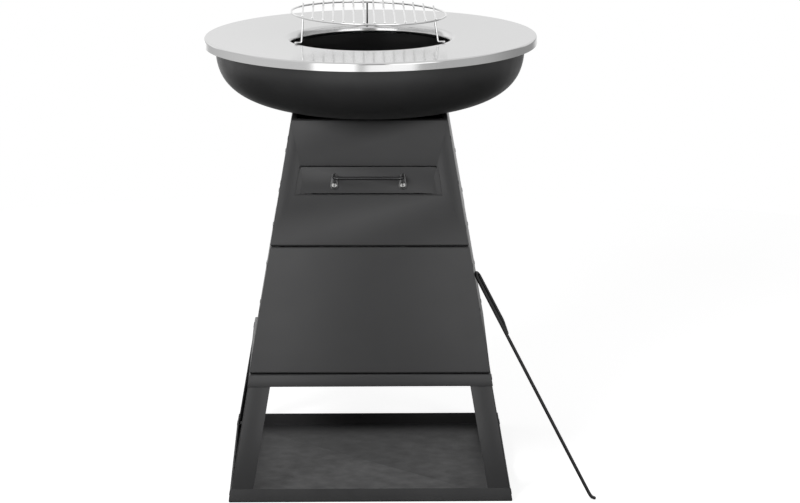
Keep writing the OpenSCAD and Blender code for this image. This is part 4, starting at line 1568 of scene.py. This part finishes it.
@dataclass
class Grate:
    """The raised wire grate on three legs, a little askew on them.

    Attributes:
        wardrobe: The finishes.
        plate: The plate whose lip carries the legs.
        ring_r: Radius of the ring.
        ring_z: Height of its wire.
        ring_d: Diameter of its wire.
        bar_d: Diameter of the bars.
        bars: Number of bars.
        pitch: Distance from bar to bar.
        over: How far their ends stand past the ring.
        shift: How far the ring stands off to the left.
        turn: Turn of the ring, in degrees.
        roll: How much its left side stands up, in degrees.
        lean: How much its front stands up, in degrees.
        foot_d: Diameter of the legs' wire.
        foot_bend: Radius of the bend above each foot.
        foot_slope: Slope of the feet.
        foot_in: Radius at which the legs go down.
        foot_r: Radius that the feet reach.
        rear_at: Where the rear leg stands, in degrees from the right.
        touch_gap: Gap between the feet and the lip.
    """

    wardrobe: Wardrobe
    plate: HotPlate
    ring_r: float = 186.0
    ring_z: float = 1119.1
    ring_d: float = 5.0
    bar_d: float = 4.6
    bars: int = 14
    pitch: float = 24.3
    over: float = 1.5
    shift: float = 2.2
    turn: float = 0.4
    roll: float = 1.69
    lean: float = 0.46
    foot_d: float = 5.0
    foot_bend: float = 5.0
    foot_slope: float = 6.0
    foot_in: float = 187.2
    foot_r: float = 204.0
    rear_at: float = 91.8
    touch_gap: float = 0.45

    @property
    def pose(self) -> Matrix:
        """The ring's own turn."""
        return spin(self.turn, "Z") @ spin(self.roll, "Y") @ spin(-self.lean, "X")

    def settle(self, obj: Object) -> Object:
        """Moves a mesh from the ring's own level frame to its place."""
        pose, centre = self.pose, Vector((-self.shift, 0, self.ring_z))
        return self.plate.settle(move(obj, lambda p: pose @ p + centre))

    def build(self) -> None:
        """Builds and dresses the ring, the bars and the legs."""
        wire = lathe("grate_ring_wire", circle(self.ring_d / 2, 20, self.ring_r), 192)
        self.wardrobe.dress(self.settle(wire), Slot.GRATE, Body.GRATE, "grate_ring")
        bars = BarsTree("grate_bars_tree", self.wardrobe.materials[Slot.GRATE]).grow("grate_bar_wires", {
            "Bars": self.bars, "Pitch": self.pitch * MM, "Ring radius": self.ring_r * MM,
            "Wire diameter": self.bar_d * MM, "Overhang": self.over * MM,
            "Height": ((self.ring_d + self.bar_d) / 2 + HAIR) * MM})
        tidy(bars)
        soften(bars, 0.5)
        self.wardrobe.dress(self.settle(bars), Slot.GRATE, Body.GRATE, "grate_bars")
        for name, at in (("rear", self.rear_at), ("left", 210.0), ("right", 330.0)):
            self.leg(name, math.radians(at))

    def leg(self, name: str, at: float) -> None:
        """Builds one leg with its outward foot.

        Args:
            name: Which leg it is.
            at: Where it stands, in radians from +X.
        """
        p, slope = self.plate, math.radians(self.foot_slope)
        turn_r = p.mouth_r + p.lip_r
        lip_z = p.z - p.dish * (p.r - turn_r) / (p.r - p.mouth_r) - p.lip_r
        off = p.lip_r + self.touch_gap + self.foot_d / 2
        touch_r, touch_z = turn_r - off * math.sin(slope), lip_z + off * math.cos(slope)
        low, end = (touch_z + (r - touch_r) * math.tan(slope) for r in (self.foot_in, self.foot_r))
        reach = self.ring_r - (self.ring_d + self.foot_d) / 2 - 0.05
        top = -self.shift * math.cos(at) + math.sqrt(reach ** 2 - (self.shift * math.sin(at)) ** 2)
        n = self.pose @ Vector((0, 0, 1))
        top_z = self.ring_z - (n.x * (top * math.cos(at) + self.shift) + n.y * top * math.sin(at)) / n.z
        path = [Vector((r * math.cos(at), r * math.sin(at), z)) for r, z in
                ((top, top_z), (self.foot_in, low), (self.foot_r, end))]
        obj = tube(f"grate_leg_{name}_wire", rounded(path, [0, self.foot_bend, 0], 10), self.foot_d,
                   round_end=True)
        self.wardrobe.dress(self.plate.settle(obj), Slot.GRATE, Body.GRATE, f"grate_leg_{name}")


# The poker


@dataclass
class Poker:
    """The poker that leans on the right side.

    Attributes:
        wardrobe: The finishes.
        taper: The faces that it leans on.
        d: Diameter of the rod.
        length: Length of the rod.
        steep: Steepness, in degrees.
        turn: Turn towards the front, in degrees.
        roll: Roll of the loop, in degrees.
        inset: Distance from the stand's front edge to the loop's top.
        loop: Width and length of the loop.
        neck: Length over which the loop's far side comes in to the rod.
        neck_bend: Radius of the bend where it starts.
        hook_roll: Roll of the hook, in degrees.
        hook_l: Length of the hook after its bend.
        hook_turn: Turn of the hook's bend, in degrees.
        hook_bend: Radius of that bend.
        gap: Gap to the panel and the floor.
    """

    wardrobe: Wardrobe
    taper: Taper
    d: float = 8.0
    length: float = 587.5
    steep: float = 61.2
    turn: float = -17.1
    roll: float = -4.0
    inset: float = 32.5
    loop: Point = (26.0, 162.0)
    neck: float = 30.0
    neck_bend: float = 24.0
    hook_roll: float = -29.0
    hook_l: float = 24.0
    hook_turn: float = 88.0
    hook_bend: float = 14.0
    gap: float = 0.3

    def build(self) -> None:
        """Builds and dresses the poker."""
        aim = spin(self.turn, "Z") @ spin(self.steep, "Y")
        loop, hook = (aim @ spin(roll, "X") for roll in (self.roll, self.hook_roll))
        a, (w, long) = math.radians(self.hook_turn), self.loop
        back = self.hook_bend * math.tan(a / 2)
        corner = Vector((self.length + back, 0, 0))
        tip = corner + Vector((math.cos(a), -math.sin(a), 0)) * (back + self.hook_l)
        bend = fillet(Vector((0, 0, 0)), corner, tip, self.hook_bend, 14)
        z = self.d / 2 + self.gap - min((hook @ p).z for p in (*bend, tip))
        y = self.inset - self.taper.half(z)
        n = Vector((self.taper.cos, 0, self.taper.sin))
        reach = w / 2 * math.hypot(n.dot(loop.col[0]), n.dot(loop.col[1])) + self.d / 2
        middle = n.dot(loop @ Vector((w / 2, w / 2, 0)))
        x = (self.taper.base_half * self.taper.cos + self.gap + reach - middle - n.z * z) / n.x
        corners = ((w / 2, 0), (0, 0), (0, w), (long - self.neck, w), (long, self.d + 0.06))
        radii = [0, w / 2 - 0.01, w / 2 - 0.01, self.neck_bend, 0]
        handle = rounded([Vector((*c, 0)) for c in corners], radii, 14)
        place = Vector((x, y, z))
        path = [hook @ p + place for p in (tip, *bend[::-1])] + [loop @ p + place for p in handle]
        obj = tube("poker_rod", path, self.d, 24, round_start=True, round_end=True)
        self.wardrobe.dress(Stack.MIDDLE.settle(obj), Slot.POKER, Body.POKER, "poker")


# The studio


@dataclass(frozen=True)
class Panel:
    """A bright panel of the surround in front of the grill, as glossy faces show it.

    Attributes:
        start: Turn of its left edge, in degrees.
        end: Turn of its right edge, in degrees.
        soft: Width of its soft edges, in degrees.
        level: Brightness of its lower part.
        slide: How far its upper part stands to the right, in degrees.
    """

    start: float
    end: float
    soft: float
    level: float
    slide: float = 0.0


class Surround(Tree):
    """The surround: white to the camera, bright panels to glossy faces, a dim dome to matt ones.

    A direction is given by its turn from the camera's side, to the right, and its rise, both in degrees,
    or by the parts x and y of its unit vector, to the right and away from the camera.

    Attributes:
        AROUND: Brightness over the turn, in three factors: left rear, front and right rear.
        BEHIND: Brighter part behind the grill, over the turn to either side.
        BEHIND_RISE: Where it ends, at the horizon.
        GAP: Dark gap between the panels: its edges and the width of their softness.
        GAP_LEVEL: What it adds to the brightness, which is less than nothing.
        ABOVE: Where directions count as above the horizon.
        PANELS: The bright panels.
        PANEL_TOP: Brightness of the panels' upper part.
        PANEL_RISE: Where the upper part starts.
        PANEL_END: Where the panels end above.
        FLOOR: Share of the brightness that is left below, where the floor near the grill is.
        BACK: The far floor right behind the grill: over y, over the rise and over x.
        WALL: The rear wall: over the rise and over x.
        WALL_SIDES: Where the wall shows: over y, or over x on its left.
        CEILING: Brightness of the ceiling.
        DOME: Light on matt faces from above.
        SIDES: Light on matt faces from the sides, over x to either side.
        SIDES_RISE: Its edges and their softness, over the rise.
        SIDES_LEVEL: Its strength.
    """

    AROUND = (Ramp(-160.0, -95.0, 0.78, 1.0), Ramp(-50.0, 60.0, 0.77, 0.58), Ramp(75.0, 125.0, 1.0, 0.63))
    BEHIND = Ramp(148.0, 168.0, 0.0, 1.4)
    BEHIND_RISE = Ramp(-10.0, 2.0, 1.0, 0.0)
    GAP = (-9.0, 13.0, 5.0)
    GAP_LEVEL = -0.42
    ABOVE = Ramp(-10.0, -1.0)
    PANELS = (Panel(-40.0, -9.5, 6.0, 0.95), Panel(-4.0, 31.0, 7.0, 0.66, 16.0))
    PANEL_TOP = 1.25
    PANEL_RISE = (-12.0, -2.0)
    PANEL_END = Ramp(24.0, 44.0, 1.0, 0.0)
    FLOOR = Ramp(-30.0, -12.0, 0.06, 1.0)
    BACK = (Ramp(0.86, 0.965), Ramp(-17.0, -11.0), Ramp(-0.05, 0.05, 0.93, 0.84))
    WALL = (Ramp(-1.0, 8.0), Ramp(-0.5, -0.14, 1.1, 0.9))
    WALL_SIDES = (Ramp(0.5, 0.75), Ramp(-0.8, -0.5, 0.5, 0.0))
    CEILING = Ramp(28.0, 45.0, 0.0, 0.9)
    DOME = Ramp(14.0, 40.0, 0.005, 0.28)
    SIDES = Ramp(0.62, 0.92)
    SIDES_RISE = (-28.0, 28.0, 14.0)
    SIDES_LEVEL = 0.4

    def __init__(self) -> None:
        """Builds the surround and gives it to the scene."""
        world = bpy.data.worlds.new("studio")
        world.use_nodes = True
        bpy.context.scene.world = world
        super().__init__(world.node_tree)
        self.nodes.clear()
        self.x, self.y, z = self.parts(self.add("ShaderNodeTexCoord").outputs["Generated"])
        self.turn = self.math("DEGREES", self.math("ARCTAN2", self.x, self.y * -1.0))
        self.rise = self.math("DEGREES", self.math("ARCSINE", z))
        soft, shine, white = (
            self.add("ShaderNodeBackground", {"Color": (1, 1, 1, 1), "Strength": level}).outputs[0]
            for level in (self.dome(), self.gleam(), 1.0))
        path = self.add("ShaderNodeLightPath").outputs
        seen = self.mix(path["Is Camera Ray"], self.mix(path["Is Glossy Ray"], soft, shine), white)
        self.add("ShaderNodeOutputWorld", {"Surface": seen})

    def gleam(self) -> Value:
        """Gives the brightness that glossy faces show."""
        x, y, turn, rise = self.x, self.y, self.turn, self.rise
        glow = self.step(turn, self.AROUND[0]) * self.step(turn, self.AROUND[1])
        glow = glow * self.step(turn, self.AROUND[2])
        behind = self.step(self.math("ABSOLUTE", turn), self.BEHIND) * self.step(rise, self.BEHIND_RISE)
        above = self.step(rise, self.ABOVE)
        glow = glow * (behind + 1.0) + self.band(turn, *self.GAP) * above * self.GAP_LEVEL
        end = self.step(rise, self.PANEL_END)
        for panel in self.PANELS:
            level = self.step(rise, Ramp(*self.PANEL_RISE, panel.level, self.PANEL_TOP)) * end
            aside = turn - above * panel.slide
            glow = glow + self.band(aside, panel.start, panel.end, panel.soft) * level
        glow = glow * self.step(rise, self.FLOOR)
        back = self.step(y, self.BACK[0]) * self.step(rise, self.BACK[1]) * self.step(x, self.BACK[2])
        shown = self.math("MAXIMUM", self.step(y, self.WALL_SIDES[0]), self.step(x, self.WALL_SIDES[1]))
        wall = self.step(rise, self.WALL[0]) * self.step(x, self.WALL[1]) * shown
        for bright in (back, wall, self.step(rise, self.CEILING)):
            glow = self.math("MAXIMUM", glow, bright)
        return glow

    def dome(self) -> Value:
        """Gives the brightness that lights matt faces."""
        sides = self.step(self.math("ABSOLUTE", self.x), self.SIDES) * self.band(self.rise, *self.SIDES_RISE)
        return self.step(self.rise, self.DOME) + sides * self.SIDES_LEVEL


@dataclass
class Studio:
    """Camera, lights, floor and background.

    Attributes:
        focal: Focal length in pixels of the photograph.
        eye: The camera's place, in metres.
        pitch: The camera's tilt below the horizon, in radians.
        yaw: Its turn to the right, in radians.
        width: Width of the photograph in pixels.
        sensor: Width of the camera's sensor, in millimetres.
        aim: The point that the lamps face, in metres.
        lamp_size: Edge length of the lamps, in metres.
        floor_r: Radius of the floor, in metres.
        floor_z: Height of the floor, in metres.
        floor_tone: Grey of the floor to the camera.
        floor_glow: Strength of its own light to the camera.
        floor_dim: Grey of the floor to all else.
        floor_far: Strength of its own light to all else, over the distance behind the grill.
    """

    focal: float = 3339.0
    eye: tuple[float, float, float] = (-0.013, -7.942, 2.350)
    pitch: float = 0.2248
    yaw: float = 0.0108
    width: float = 800.0
    sensor: float = 36.0
    aim: tuple[float, float, float] = (0.0, 0.0, 0.7)
    lamp_size: float = 1.2
    floor_r: float = 3.2
    floor_z: float = -0.0005
    floor_tone: float = 0.8
    floor_glow: float = 0.76
    floor_dim: float = 0.14
    floor_far: Ramp = Ramp(0.8, 2.6, 0.0, 0.55)

    def build(self) -> None:
        """Builds the whole studio."""
        bpy.context.scene.view_settings.view_transform = "Standard"
        self.camera()
        Surround()
        self.floor()
        self.lamp("key_softbox", (-1.4, -2.7, 2.15), 54.0)
        self.lamp("right_softbox", (2.1, -2.5, 2.15), 18.0)

    def camera(self) -> None:
        """Places the camera."""
        data = bpy.data.cameras.new("camera")
        data.sensor_width = self.sensor
        data.sensor_fit = "HORIZONTAL"
        data.lens = self.focal * self.sensor / self.width
        data.clip_end = 60.0
        cam = linked("camera", data)
        cam.location = self.eye
        cam.rotation_euler = (math.pi / 2 - self.pitch, 0.0, -self.yaw)
        bpy.context.scene.camera = cam

    def floor(self) -> None:
        """Builds the pale floor: it takes the object's shadow for the camera and is darker to all else."""
        rim = circle(self.floor_r, 96)
        mesh = bpy.data.meshes.new("floor")
        mesh.from_pydata([(x, y, self.floor_z) for x, y in rim], [], [list(range(len(rim)))])
        obj = linked("floor", mesh)
        mat = bpy.data.materials.new("pale_floor")
        mat.use_nodes = True
        tree = Tree(mat.node_tree)
        shader = tree.nodes["Principled BSDF"]
        shader.inputs["Base Color"].default_value = (*[self.floor_tone] * 3, 1)
        shader.inputs["Roughness"].default_value = 0.9
        shader.inputs["Specular IOR Level"].default_value = 0.0
        away = tree.parts(tree.add("ShaderNodeTexCoord").outputs["Object"])[1]
        dim = tree.add("ShaderNodeBsdfDiffuse", {"Color": (*[self.floor_dim] * 3, 1)})
        layers = []
        for base, glow in ((dim, tree.step(away, self.floor_far)), (shader, self.floor_glow)):
            light = tree.add("ShaderNodeEmission", {"Color": (1, 1, 1, 1), "Strength": glow})
            both = tree.add("ShaderNodeAddShader", {0: base.outputs[0], 1: light.outputs[0]})
            layers.append(both.outputs[0])
        path = tree.add("ShaderNodeLightPath")
        mix = tree.mix(path.outputs["Is Camera Ray"], *layers)
        tree.links.new(mix, tree.nodes["Material Output"].inputs["Surface"])
        mesh.materials.append(mat)

    def lamp(self, name: str, place: tuple[float, float, float], power: float) -> None:
        """Adds a soft lamp that glossy faces don't show.

        Args:
            name: The lamp's name.
            place: Where it hangs, in metres.
            power: Its power, in watts.
        """
        data = bpy.data.lights.new(name, "AREA")
        data.shape = "SQUARE"
        data.size = self.lamp_size
        data.energy = power
        obj = linked(name, data)
        obj.location = place
        obj.rotation_euler = (Vector(self.aim) - Vector(place)).to_track_quat("-Z", "Y").to_euler()
        obj.visible_glossy = False


def main() -> None:
    """Builds the grill piece by piece, then the studio."""
    logging.basicConfig(level=logging.INFO, format="%(name)s: %(message)s")
    wardrobe = Wardrobe(Finishes())
    stand = Stand(wardrobe)
    stand.build()
    Drawer(wardrobe, stand).build()
    plate = HotPlate(wardrobe)
    plate.build()
    seat_r = stand.taper.half(stand.stand_z) - stand.mouth_flange
    rim_r, rim_gap = 368.0, 0.3
    FireBowl(wardrobe, seat_r, stand.stand_z, plate.under(rim_r) - rim_gap).build()
    Grate(wardrobe, plate).build()
    Poker(wardrobe, stand.taper).build()
    Studio().build()
    bpy.context.view_layer.update()


if __name__ == "__main__":
    main()
